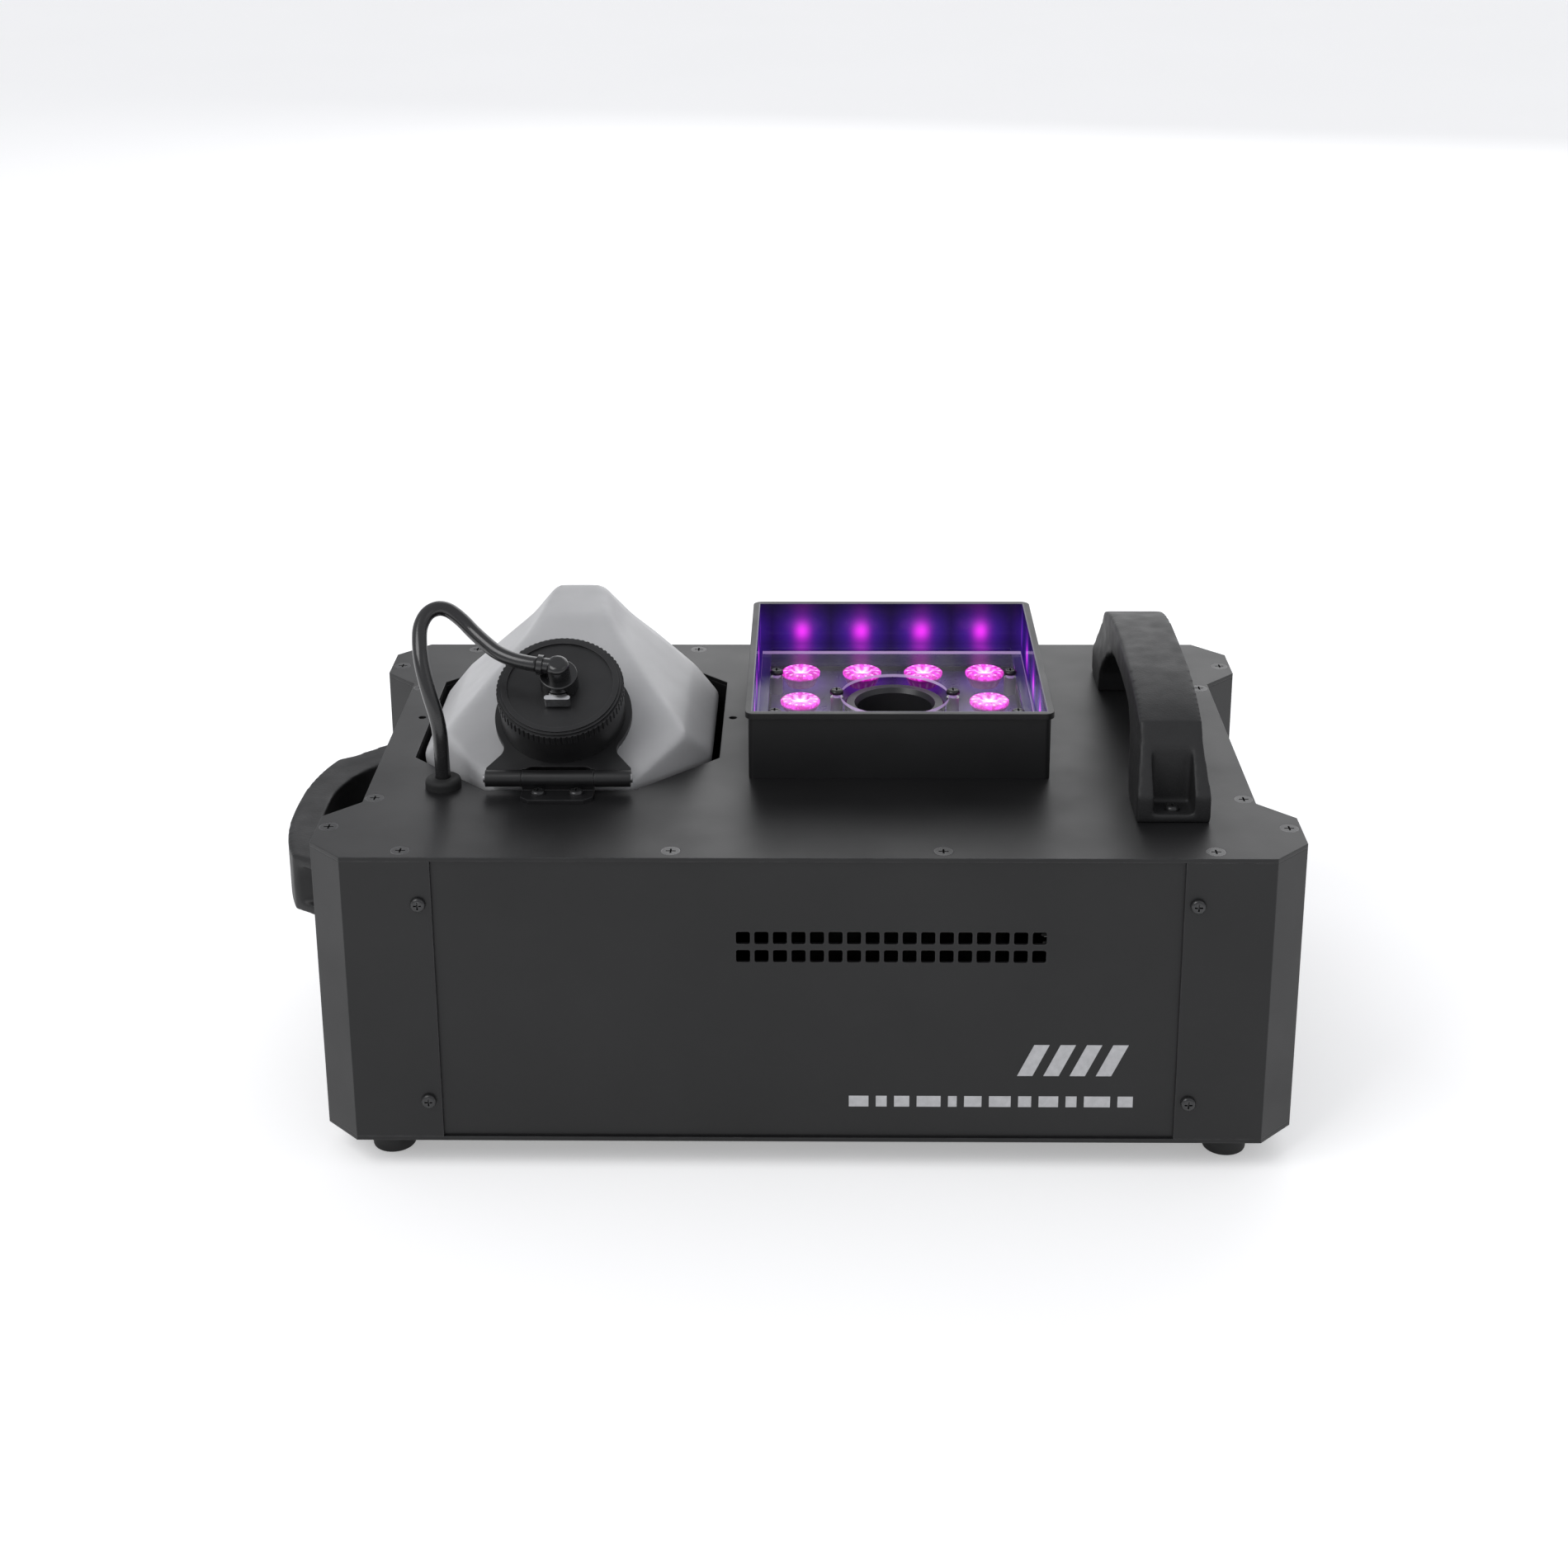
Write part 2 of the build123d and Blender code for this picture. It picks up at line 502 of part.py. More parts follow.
with BuildPart() as led_window:
    with BuildSketch(HOOD_PLANE.offset(WINDOW_Z - Z_TOP)):
        Rectangle(WINDOW_W, WINDOW_D)
        Circle(WINDOW_HOLE_R, mode=Mode.SUBTRACT)
        with Locations(*WINDOW_SCREWS):
            Circle(HOLE_R, mode=Mode.SUBTRACT)
    extrude(amount=WINDOW_T)
    chamfer(led_window.edges().group_by(Axis.Z)[-1], 0.4)
save(led_window, "led_window")

SPACER_R = 3.2
with BuildPart() as window_spacers:
    with BuildSketch(HOOD_PLANE.offset(LED_BOARD_T)):
        with Locations(*WINDOW_SCREWS):
            Circle(SPACER_R)
            Circle(HOLE_R, mode=Mode.SUBTRACT)
    extrude(amount=WINDOW_Z - BOARD_Z)
save(window_spacers, "window_spacers")

window_screw = pan_screw(WINDOW_T + WINDOW_Z - BOARD_Z + LED_BOARD_T - 0.5)
with BuildPart() as window_screws:
    with Locations(*[(HOOD_X + x, HOOD_Y + y, WINDOW_TOP + PAN_HEAD_H) for x, y in WINDOW_SCREWS]):
        add(window_screw)
save(window_screws, "window_screws")

# ---------------------------------------------------------------- nozzle and heater
HEATER_TOP = HEATER_Z + HEATER_H
JET_R = 6.0
NOZZLE_TOP = WINDOW_TOP - NOZZLE_DROP
NOZZLE_BOTTOM = JACKET_TOP
NOZZLE_FLOOR = 4.0

with BuildPart() as nozzle_cup:
    with BuildSketch(Plane.XZ.offset(-HOOD_Y)):
        outer = NOZZLE_R + NOZZLE_WALL
        Polygon((HOOD_X + JET_R + SLIP, NOZZLE_BOTTOM), (HOOD_X + outer, NOZZLE_BOTTOM),
                (HOOD_X + outer, NOZZLE_TOP - 1.2), (HOOD_X + outer - 1.2, NOZZLE_TOP),
                (HOOD_X + NOZZLE_R + 1.5, NOZZLE_TOP), (HOOD_X + NOZZLE_R, NOZZLE_TOP - 2.5),
                (HOOD_X + NOZZLE_R, NOZZLE_BOTTOM + NOZZLE_FLOOR),
                (HOOD_X + JET_R + SLIP, NOZZLE_BOTTOM + NOZZLE_FLOOR), align=None)
    revolve(axis=Axis((HOOD_X, HOOD_Y, 0), (0, 0, 1)))
save(nozzle_cup, "nozzle_cup")

JET_TOP = NOZZLE_TOP - 14.0
with BuildPart() as nozzle_jet:
    with BuildSketch(Plane.XZ.offset(-HOOD_Y)):
        Polygon((HOOD_X + 0.8, HEATER_TOP), (HOOD_X + JET_R, HEATER_TOP), (HOOD_X + JET_R, JET_TOP - 12),
                (HOOD_X + 2.6, JET_TOP), (HOOD_X + 0.8, JET_TOP), align=None)
    revolve(axis=Axis((HOOD_X, HOOD_Y, 0), (0, 0, 1)))
save(nozzle_jet, "nozzle_jet")

INLET_BOSS_R, INLET_BOSS_L = 5.0, 6.0
HEATER_INLET_Z = HEATER_Z + 14.0
with BuildPart() as heater_block:
    with BuildSketch(Plane((HOOD_X, HOOD_Y, HEATER_Z))):
        RectangleRounded(HEATER_W, HEATER_D, 4)
    extrude(amount=HEATER_H)
    with BuildSketch(Plane.YZ.offset(HOOD_X + HEATER_W / 2)):
        with Locations((HOOD_Y, HEATER_INLET_Z)):
            Circle(INLET_BOSS_R)
    extrude(amount=INLET_BOSS_L)
save(heater_block, "heater_block")

JACKET_W, JACKET_D = HEATER_W + 2 * JACKET_GAP + 2 * SHEET_T, HEATER_D + 2 * JACKET_GAP + 2 * SHEET_T
with BuildPart() as heater_jacket:
    with BuildSketch(Plane((HOOD_X, HOOD_Y, Z_FLOOR))):
        Rectangle(JACKET_W, JACKET_D)
        Rectangle(JACKET_W - 2 * SHEET_T, JACKET_D - 2 * SHEET_T, mode=Mode.SUBTRACT)
    extrude(amount=JACKET_TOP - Z_FLOOR)
    with BuildSketch(Plane((HOOD_X, HOOD_Y, JACKET_TOP - SHEET_T))):
        Rectangle(JACKET_W, JACKET_D)
        Circle(JET_R + 1, mode=Mode.SUBTRACT)
    extrude(amount=SHEET_T)
    with BuildSketch(Plane.YZ.offset(HOOD_X + JACKET_W / 2 - SHEET_T)):
        with Locations((HOOD_Y, HEATER_INLET_Z)):
            Circle(INLET_BOSS_R + 1)
    extrude(amount=SHEET_T, mode=Mode.SUBTRACT)
save(heater_jacket, "heater_jacket")

STAND_W = 12.0
with BuildPart() as heater_stands:
    for side in (-1, 1):
        with BuildSketch(Plane.XZ.offset(-HOOD_Y - HEATER_D * 0.35)):
            web_x = HOOD_X + side * HEATER_W * 0.36
            web_x1, foot_x, seat_x = web_x + side * SHEET_T, web_x - side * STAND_W, web_x + side * STAND_W
            Polygon((foot_x, Z_FLOOR), (web_x1, Z_FLOOR), (web_x1, HEATER_Z - SHEET_T),
                    (seat_x, HEATER_Z - SHEET_T), (seat_x, HEATER_Z), (web_x, HEATER_Z),
                    (web_x, Z_FLOOR + SHEET_T), (foot_x, Z_FLOOR + SHEET_T), align=None)
        extrude(amount=HEATER_D * 0.7)
save(heater_stands, "heater_stands")

CUTOUT_R, CUTOUT_H = 8.0, 4.0
with BuildPart() as thermal_cutouts:
    with BuildSketch(Plane.XZ.offset(-(HOOD_Y - HEATER_D / 2))):
        with Locations((HOOD_X - 20, HEATER_TOP - 14), (HOOD_X + 20, HEATER_TOP - 14)):
            Circle(CUTOUT_R)
    extrude(amount=CUTOUT_H)
save(thermal_cutouts, "thermal_cutouts")

# ---------------------------------------------------------------- pump
PUMP_FRAME = 36.0
NIPPLE_R, NIPPLE_L = 3.0, 9.0
with BuildPart() as pump_body:
    with BuildSketch(Plane.YZ.offset(PUMP_X - PUMP_L / 2)):
        with Locations((PUMP_Y, PUMP_Z)):
            Circle(PUMP_R * 0.7)
    extrude(amount=PUMP_L)
    with BuildSketch(Plane.YZ.offset(PUMP_X - PUMP_FRAME / 2)):
        with Locations((PUMP_Y, PUMP_Z)):
            RectangleRounded(PUMP_FRAME, PUMP_FRAME, 3)
    extrude(amount=PUMP_FRAME)
    with BuildSketch(Plane.YZ.offset(PUMP_X - PUMP_L / 2 - NIPPLE_L)):
        with Locations((PUMP_Y, PUMP_Z)):
            Circle(NIPPLE_R)
    extrude(amount=PUMP_L + 2 * NIPPLE_L)
save(pump_body, "pump_body")

BRACKET_Z = PUMP_Z - PUMP_FRAME / 2
with BuildPart() as pump_bracket:
    with BuildSketch(Plane.XZ.offset(-PUMP_Y - 14)):
        with BuildLine() as bracket_line:
            Polyline((PUMP_X - 28, Z_FLOOR + SHEET_T / 2), (PUMP_X - 16, Z_FLOOR + SHEET_T / 2),
                     (PUMP_X - 16, BRACKET_Z - SHEET_T / 2), (PUMP_X + 16, BRACKET_Z - SHEET_T / 2),
                     (PUMP_X + 16, Z_FLOOR + SHEET_T / 2), (PUMP_X + 28, Z_FLOOR + SHEET_T / 2))
            offset(amount=SHEET_T / 2, side=Side.BOTH, kind=Kind.INTERSECTION, mode=Mode.REPLACE)
        make_face()
    extrude(amount=28)
save(pump_bracket, "pump_bracket")

# ---------------------------------------------------------------- electronics
BOARD_W, BOARD_D, BOARD_T = 130.0, 54.0, 1.6
BOARD_X, BOARD_Y, SPACER_H = -112.0, -98.0, 8.0
BOARD_Z0 = Z_FLOOR + SPACER_H
with BuildPart() as board_spacers:
    with Locations((BOARD_X, BOARD_Y, Z_FLOOR)):
        with GridLocations(BOARD_W - 12, BOARD_D - 12, 2, 2):
            Cylinder(3, SPACER_H, align=(Align.CENTER, Align.CENTER, Align.MIN))
save(board_spacers, "board_spacers")

with BuildPart() as main_board:
    with Locations((BOARD_X, BOARD_Y, BOARD_Z0)):
        Box(BOARD_W, BOARD_D, BOARD_T, align=(Align.CENTER, Align.CENTER, Align.MIN))
    with Locations((BOARD_X, BOARD_Y, BOARD_Z0 + BOARD_T)):
        with Locations((-42, 4, 0)):
            Box(28, 32, 24, align=(Align.CENTER, Align.CENTER, Align.MIN))
        with Locations((-8, 8, 0), (14, 8, 0)):
            Box(16, 20, 15, align=(Align.CENTER, Align.CENTER, Align.MIN))
        with Locations((38, 12, 0), (52, 12, 0)):
            Cylinder(5, 16, align=(Align.CENTER, Align.CENTER, Align.MIN))
        with Locations((30, -14, 0)):
            Box(24, 12, 6, align=(Align.CENTER, Align.CENTER, Align.MIN))
save(main_board, "main_board")

SUPPLY_W, SUPPLY_D, SUPPLY_H = 104.0, 52.0, 38.0
SUPPLY_X, SUPPLY_Y = 8.0, -98.0
with BuildPart() as power_supply:
    with Locations((SUPPLY_X, SUPPLY_Y, Z_FLOOR)):
        Box(SUPPLY_W, SUPPLY_D, SUPPLY_H, align=(Align.CENTER, Align.CENTER, Align.MIN))
    fillet(power_supply.edges().filter_by(Axis.Z), 2.0)
save(power_supply, "power_supply")

# ---------------------------------------------------------------- fan
HUB_R, BLADE_T, BLADE_CHORD, BLADES = 11.0, 1.6, 11.0, 7
BLADE_DEPTH = 9.5                       # blade middle in from the frame's face
FAN_Y1 = Y_INSIDE
FAN_PLANE = Plane(origin=(FAN_X, FAN_Y1, FAN_Z), x_dir=(1, 0, 0), z_dir=(0, -1, 0))
with BuildPart() as fan_frame:
    with BuildSketch(FAN_PLANE):
        RectangleRounded(FAN_SIZE, FAN_SIZE, 4)
        Circle(FAN_BORE, mode=Mode.SUBTRACT)
        with GridLocations(FAN_SIZE - 10, FAN_SIZE - 10, 2, 2):
            Circle(HOLE_R, mode=Mode.SUBTRACT)
    extrude(amount=FAN_T)
    with BuildSketch(FAN_PLANE.offset(FAN_T - 2)):
        Circle(HUB_R + 1)
        with PolarLocations(FAN_BORE / 2 + 2, 3):
            Rectangle(FAN_BORE, 4)
    extrude(amount=2)
    with BuildSketch(FAN_PLANE.offset(4)):
        Circle(PIN_R - SLIP)
    extrude(amount=FAN_T - 5)
save(fan_frame, "fan_frame")

with BuildPart() as fan_rotor:
    with BuildSketch(FAN_PLANE.offset(2)):
        Circle(HUB_R)
    extrude(amount=FAN_T - 5)
    with BuildSketch(FAN_PLANE.offset(4)):
        Circle(PIN_R + SLIP)
    extrude(amount=FAN_T, mode=Mode.SUBTRACT)
    for blade in range(BLADES):
        angle = 2 * math.pi * blade / BLADES
        across, outward = (-math.sin(angle), 0, math.cos(angle)), (math.cos(angle), 0, math.sin(angle))
        root_plane = Plane(origin=(FAN_X, FAN_Y1 - BLADE_DEPTH, FAN_Z), x_dir=across, z_dir=outward)
        with BuildSketch(root_plane.offset(HUB_R - 1)):
            Rectangle(BLADE_T, BLADE_CHORD, rotation=35)
        extrude(amount=FAN_BORE - HUB_R - 1.0)
save(fan_rotor, "fan_rotor")

# ---------------------------------------------------------------- control bezel
DISPLAY_T = 2.0
with BuildPart() as control_bezel:
    with BuildSketch(Plane.XZ.offset(-Y_PANEL)):
        with Locations((BEZEL_X, BEZEL_Z)):
            RectangleRounded(BEZEL_W, BEZEL_H, 3)
        with Locations((DISPLAY_X, BEZEL_Z)):
            Rectangle(DISPLAY_W, DISPLAY_H, mode=Mode.SUBTRACT)
        with Locations(*[(x, BEZEL_Z) for x in BUTTON_X.values()]):
            Circle(BUTTON_R + FIT, mode=Mode.SUBTRACT)
    extrude(amount=-BEZEL_T)
save(control_bezel, "control_bezel")

with BuildPart() as display_window:
    with BuildSketch(Plane.XZ.offset(-Y_PANEL)):
        with Locations((DISPLAY_X, BEZEL_Z)):
            Rectangle(DISPLAY_W - 2 * SLIP, DISPLAY_H - 2 * SLIP)
    extrude(amount=-DISPLAY_T)
save(display_window, "display_window")

BUTTON_STAND = 2.0                      # button face above the bezel
BUTTON_BACK = 2.5                       # flange behind the bezel
for button_name, button_x in BUTTON_X.items():
    with BuildPart() as button:
        with BuildSketch(Plane.XZ.offset(-Y_PANEL + FIT)):
            with Locations((button_x, BEZEL_Z)):
                Circle(BUTTON_R)
        extrude(amount=-BEZEL_T - BUTTON_STAND - FIT)
        fillet(button.edges().group_by(Axis.Y)[-1], 0.8)
        with BuildSketch(Plane.XZ.offset(-Y_PANEL + FIT)):
            with Locations((button_x, BEZEL_Z)):
                Circle(BUTTON_R + 1.2)
        extrude(amount=BUTTON_BACK)
    save(button, button_name + "_button")

# ---------------------------------------------------------------- signal sockets
SOCKET_DEPTH = 22.0


def dmx_plate(x, cut_depth):
    """Square flange and round shell of a three-pole signal socket."""
    with BuildSketch(Plane.XZ.offset(-Y_PANEL)) as flange:
        with Locations((x, SOCKET_Z)):
            RectangleRounded(DMX_PLATE_W, DMX_PLATE_H, 3)
    extrude(flange.sketch, amount=-2.0)
    with BuildSketch(Plane.XZ.offset(-Y_PANEL - 2.0)) as shell:
        with Locations((x, SOCKET_Z)):
            Circle(DMX_R + 2)
    extrude(shell.sketch, amount=SOCKET_DEPTH)
    with BuildSketch(Plane.XZ.offset(-Y_PANEL - 2.0)) as mouth:
        with Locations((x, SOCKET_Z)):
            Circle(DMX_R)
    extrude(mouth.sketch, amount=cut_depth, mode=Mode.SUBTRACT)


DMX_CUT = 16.0
CONTACT_R, CONTACT_RING = 1.2, 4.0
with BuildPart() as dmx_in_socket:
    dmx_plate(DMX_IN_X, DMX_CUT)
    with BuildSketch(Plane.XZ.offset(-Y_PANEL - 2.0 + DMX_CUT)):
        with Locations((DMX_IN_X, SOCKET_Z)):
            with PolarLocations(CONTACT_RING, 3, start_angle=30):
                Circle(CONTACT_R)
    extrude(amount=-DMX_CUT + 3)
save(dmx_in_socket, "dmx_in_socket")

LATCH_W, LATCH_Z = 6.0, DMX_R + 2.6
with BuildPart() as dmx_out_socket:
    dmx_plate(DMX_OUT_X, DMX_CUT)
    with BuildSketch(Plane.XZ.offset(-Y_PANEL - 2.0 + DMX_CUT)):
        with Locations((DMX_OUT_X, SOCKET_Z)):
            Circle(DMX_R - 2.2)
    extrude(amount=-DMX_CUT + 1)
    with BuildSketch(Plane.XZ.offset(-Y_PANEL - 1.0)):
        with Locations((DMX_OUT_X, SOCKET_Z)):
            with PolarLocations(CONTACT_RING, 3, start_angle=30):
                Circle(CONTACT_R + 0.3)
    extrude(amount=10, mode=Mode.SUBTRACT)
    with BuildSketch(Plane.XZ.offset(-Y_PANEL - 2.0)):
        with Locations((DMX_OUT_X, SOCKET_Z + LATCH_Z)):
            Rectangle(LATCH_W + 2 * FIT, 3.2)
    extrude(amount=1.8, mode=Mode.SUBTRACT)
save(dmx_out_socket, "dmx_out_socket")

with BuildPart() as dmx_out_latch:
    with BuildSketch(Plane.XZ.offset(-Y_PANEL - 3.2)):
        with Locations((DMX_OUT_X, SOCKET_Z + LATCH_Z)):
            Rectangle(LATCH_W, 2.6)
    extrude(amount=1.5)
save(dmx_out_latch, "dmx_out_latch")

# ---------------------------------------------------------------- mains inlet and switch
INLET_SLOT_Z = SOCKET_Z - 8.0
PIN_SPOTS = ((-7.0, -2.0), (0.0, 2.0), (7.0, -2.0))       # three mains pins about the socket's middle
DRAWER_Z, DRAWER_W, DRAWER_H, DRAWER_L = SOCKET_Z + 12.0, 20.0, 11.0, 14.0
with BuildPart() as mains_inlet:
    with BuildSketch(Plane.XZ.offset(-Y_PANEL)):
        with Locations((INLET_X, SOCKET_Z)):
            RectangleRounded(INLET_W, INLET_H, 2)
    extrude(amount=-2.5)
    with BuildSketch(Plane.XZ.offset(-Y_PANEL)):
        with Locations((INLET_X, SOCKET_Z)):
            Rectangle(INLET_BODY_W, INLET_BODY_H)
    extrude(amount=24)
    with BuildSketch(Plane.XZ.offset(-Y_PANEL - 2.5)):
        z0, z1 = INLET_SLOT_Z - 8.0, INLET_SLOT_Z + 8.0
        Polygon((INLET_X - 12, z0), (INLET_X + 12, z0), (INLET_X + 12, z1 - 5), (INLET_X + 7, z1),
                (INLET_X - 7, z1), (INLET_X - 12, z1 - 5), align=None)
    extrude(amount=18, mode=Mode.SUBTRACT)
    with BuildSketch(Plane.XZ.offset(-Y_PANEL + 15.5)):
        with Locations(*[(INLET_X + dx, INLET_SLOT_Z + dz) for dx, dz in PIN_SPOTS]):
            Rectangle(2, 4)
    extrude(amount=-12)
    with BuildSketch(Plane.XZ.offset(-Y_PANEL - 2.5)):
        with Locations((INLET_X, DRAWER_Z)):
            Rectangle(DRAWER_W + 2 * FIT, DRAWER_H + 2 * FIT)
    extrude(amount=DRAWER_L + 2.5 + FIT, mode=Mode.SUBTRACT)
save(mains_inlet, "mains_inlet")

with BuildPart() as fuse_drawer:
    with BuildSketch(Plane.XZ.offset(-Y_PANEL - 3.3)):
        with Locations((INLET_X, DRAWER_Z)):
            Rectangle(DRAWER_W, DRAWER_H)
    extrude(amount=DRAWER_L + 3.3)
    with BuildSketch(Plane.XZ.offset(-Y_PANEL)):
        with Locations((INLET_X, DRAWER_Z)):
            Rectangle(DRAWER_W - 5, DRAWER_H - 4)
    extrude(amount=DRAWER_L - 2, mode=Mode.SUBTRACT)
save(fuse_drawer, "fuse_drawer")

ROCKER_AXIS_Y = Y_PANEL - 6.0
with BuildPart() as switch_housing:
    with BuildSketch(Plane.XZ.offset(-Y_PANEL)):
        with Locations((SWITCH_X, SOCKET_Z)):
            RectangleRounded(SWITCH_W + 2, SWITCH_H + 3, 1)
    extrude(amount=-2.0)
    with BuildSketch(Plane.XZ.offset(-Y_PANEL)):
        with Locations((SWITCH_X, SOCKET_Z)):
            Rectangle(SWITCH_W - 2, SWITCH_H - 2)
    extrude(amount=18)
    with BuildSketch(Plane.XZ.offset(-Y_PANEL - 2.0)):
        with Locations((SWITCH_X, SOCKET_Z)):
            Rectangle(SWITCH_W - 5, SWITCH_H - 5)
    extrude(amount=16, mode=Mode.SUBTRACT)
    with BuildSketch(Plane.YZ.offset(SWITCH_X - SWITCH_W / 2 + 2)):
        with Locations((ROCKER_AXIS_Y, SOCKET_Z)):
            Circle(1.0)
    extrude(amount=SWITCH_W - 4)
save(switch_housing, "switch_housing")

ROCKER_TILT = 10.0
ROCKER_W = SWITCH_W - 5 - 2 * FIT
ROCKER_HALF = (SWITCH_H - 5) / 2 - FIT
with BuildPart() as power_rocker:
    with BuildSketch(Plane.YZ.offset(SWITCH_X - ROCKER_W / 2)):
        with BuildLine():
            y_rim = 9.2
            reach = ROCKER_HALF - 1.2
            Polyline((ROCKER_AXIS_Y - 4, SOCKET_Z - 3), (ROCKER_AXIS_Y + 2, SOCKET_Z - reach),
                     (ROCKER_AXIS_Y + y_rim, SOCKET_Z - reach + 1), (ROCKER_AXIS_Y + y_rim - 1.2, SOCKET_Z),
                     (ROCKER_AXIS_Y + y_rim, SOCKET_Z + reach - 1), (ROCKER_AXIS_Y + 2, SOCKET_Z + reach),
                     (ROCKER_AXIS_Y - 4, SOCKET_Z + 3), close=True)
        make_face()
        with Locations((ROCKER_AXIS_Y, SOCKET_Z)):
            Circle(1.0 + SLIP, mode=Mode.SUBTRACT)
    extrude(amount=ROCKER_W)
    rotated_rocker = power_rocker.part.rotate(
        Axis((SWITCH_X, ROCKER_AXIS_Y, SOCKET_Z), (1, 0, 0)), ROCKER_TILT)
    add(rotated_rocker, mode=Mode.REPLACE)
save(power_rocker, "power_rocker")

# ---------------------------------------------------------------- tank tray
with BuildPart() as tank_tray:
    with BuildSketch(Plane.XY.offset(Z_CEIL - TRAY_DEPTH)):
        Polygon(*tank_points(-SHEET_T), align=None)
    extrude(amount=TRAY_DEPTH)
    with BuildSketch(Plane.XY.offset(Z_CEIL - TRAY_DEPTH + SHEET_T)):
        Polygon(*tank_points(), align=None)
    extrude(amount=TRAY_DEPTH, mode=Mode.SUBTRACT)
save(tank_tray, "tank_tray")

# ---------------------------------------------------------------- hinge and collar
HINGE_Z = Z_TOP + HINGE_H
TILT = math.radians(BOTTLE_TILT)
COLLAR_PLANE = Plane(origin=(TANK_X, HINGE_Y, HINGE_Z), x_dir=(1, 0, 0),
                     z_dir=(0, -math.sin(TILT), math.cos(TILT)))
NECK_PLANE = Plane(origin=COLLAR_PLANE.from_local_coords((0, NECK_S, 0)), x_dir=(1, 0, 0),
                   z_dir=COLLAR_PLANE.z_dir)
LEAF_D = 15.5
KNUCKLE_PLANE = Plane(origin=(TANK_X, HINGE_Y, HINGE_Z), x_dir=(0, 1, 0), z_dir=(1, 0, 0))

with BuildPart() as hinge_leaf:
    with BuildSketch(Plane((TANK_X, HINGE_Y - LEAF_D / 2 + 1.5, Z_TOP))):
        Rectangle(LEAF_W, LEAF_D)
    extrude(amount=LEAF_T)
    chamfer(hinge_leaf.edges().filter_by(Axis.Z).group_by(Axis.Y)[0], 4.0)
    with BuildSketch(KNUCKLE_PLANE.offset(-LEAF_W / 2)):
        Circle(KNUCKLE_R)
        Polygon((-1.5, -HINGE_H), (1.5, -HINGE_H), (KNUCKLE_R * 0.8, 0), (-KNUCKLE_R, 0), align=None)
        Circle(PIN_R + SLIP, mode=Mode.SUBTRACT)
    extrude(amount=LEAF_W)
    with Locations(*[(x, y, Z_TOP) for x, y in LEAF_SCREWS]):
        Cylinder(HOLE_R, 4 * LEAF_T, mode=Mode.SUBTRACT)
save(hinge_leaf, "hinge_leaf")

HINGE_HALF = LEAF_W / 2 + FIT + KNUCKLE_SIDE_W
with BuildPart() as hinge_pin:
    with BuildSketch(KNUCKLE_PLANE.offset(-HINGE_HALF - 1)):
        Circle(PIN_R)
    extrude(amount=2 * HINGE_HALF + 2)
save(hinge_pin, "hinge_pin")

COLLAR_BORE_R = NECK_R + FIT
with BuildPart() as collar_bracket:
    with BuildSketch(COLLAR_PLANE.offset(-COLLAR_T / 2)):
        with Locations((0, NECK_S)):
            Circle(COLLAR_R)
        w, h = COLLAR_WAIST / 2, HINGE_HALF
        Polygon((-h, -1.0), (h, -1.0), (h, 5.0), (w, 14.0), (w, NECK_S), (-w, NECK_S), (-w, 14.0),
                (-h, 5.0), align=None)
        waist_corners = [v for v in vertices() if abs(abs(v.X) - w) < 0.01 and v.Y < NECK_S - 1]
        fillet(waist_corners, COLLAR_WAIST_R)
        with Locations((0, 0)):
            SlotCenterToCenter(LEAF_W + 2 * FIT - 11.0, 11.0 + 2 * FIT, mode=Mode.SUBTRACT)
            Rectangle(LEAF_W + 2 * FIT, 2 * KNUCKLE_R + 2 * FIT, mode=Mode.SUBTRACT)
        with Locations((0, NECK_S)):
            Circle(COLLAR_BORE_R, mode=Mode.SUBTRACT)
    extrude(amount=COLLAR_T)
    for start in (-HINGE_HALF, LEAF_W / 2 + FIT):
        with BuildSketch(KNUCKLE_PLANE.offset(start)):
            Circle(KNUCKLE_R)
        extrude(amount=KNUCKLE_SIDE_W)
    with BuildSketch(KNUCKLE_PLANE.offset(-HINGE_HALF - 1)):
        Circle(PIN_R + SLIP)
    extrude(amount=2 * HINGE_HALF + 2, mode=Mode.SUBTRACT)
save(collar_bracket, "collar_bracket")

# ---------------------------------------------------------------- bottle
BOTTLE_Z0 = Z_TOP - PLATE_T             # where the moulded flanks turn in
FACET_Y0 = TANK_Y0 + TANK_GAP
RIDGE_FRONT_Y = 34.0
BACK_GAP = 9.0
BACK_KNEE_Y = TANK_Y1 - BACK_GAP - 14.0
FACET_Z0 = Z_TOP + 1.0
ROOF_FALL = 23.0                        # how far the roof comes down from the ridge to the back
RIDGE_Z = Z_TOP + RIDGE_H
FOOT_HALF_W, FOOT_Y0, FOOT_Y1, FOOT_CHAMFER = 46.0, -48.0, 60.0, 25.0


def roof_outline(inset, drop):
    """Section of the bottle's roof across the tank, drawn in by inset and lowered by drop."""
    roof = [(RIDGE_HALF_W, RIDGE_Z), (24.0, RIDGE_Z - 15.0), (58.0, RIDGE_Z - 44.0),
            (TANK_HALF_W - TANK_GAP, Z_TOP + 1.0)]
    right = [(TANK_X + px - 0.8 * inset, pz - 0.8 * inset - drop) for px, pz in roof]
    right = right + [(right[-1][0], BOTTLE_Z0 - ROOF_FALL)]
    return right + [(2 * TANK_X - px, pz) for px, pz in reversed(right)]


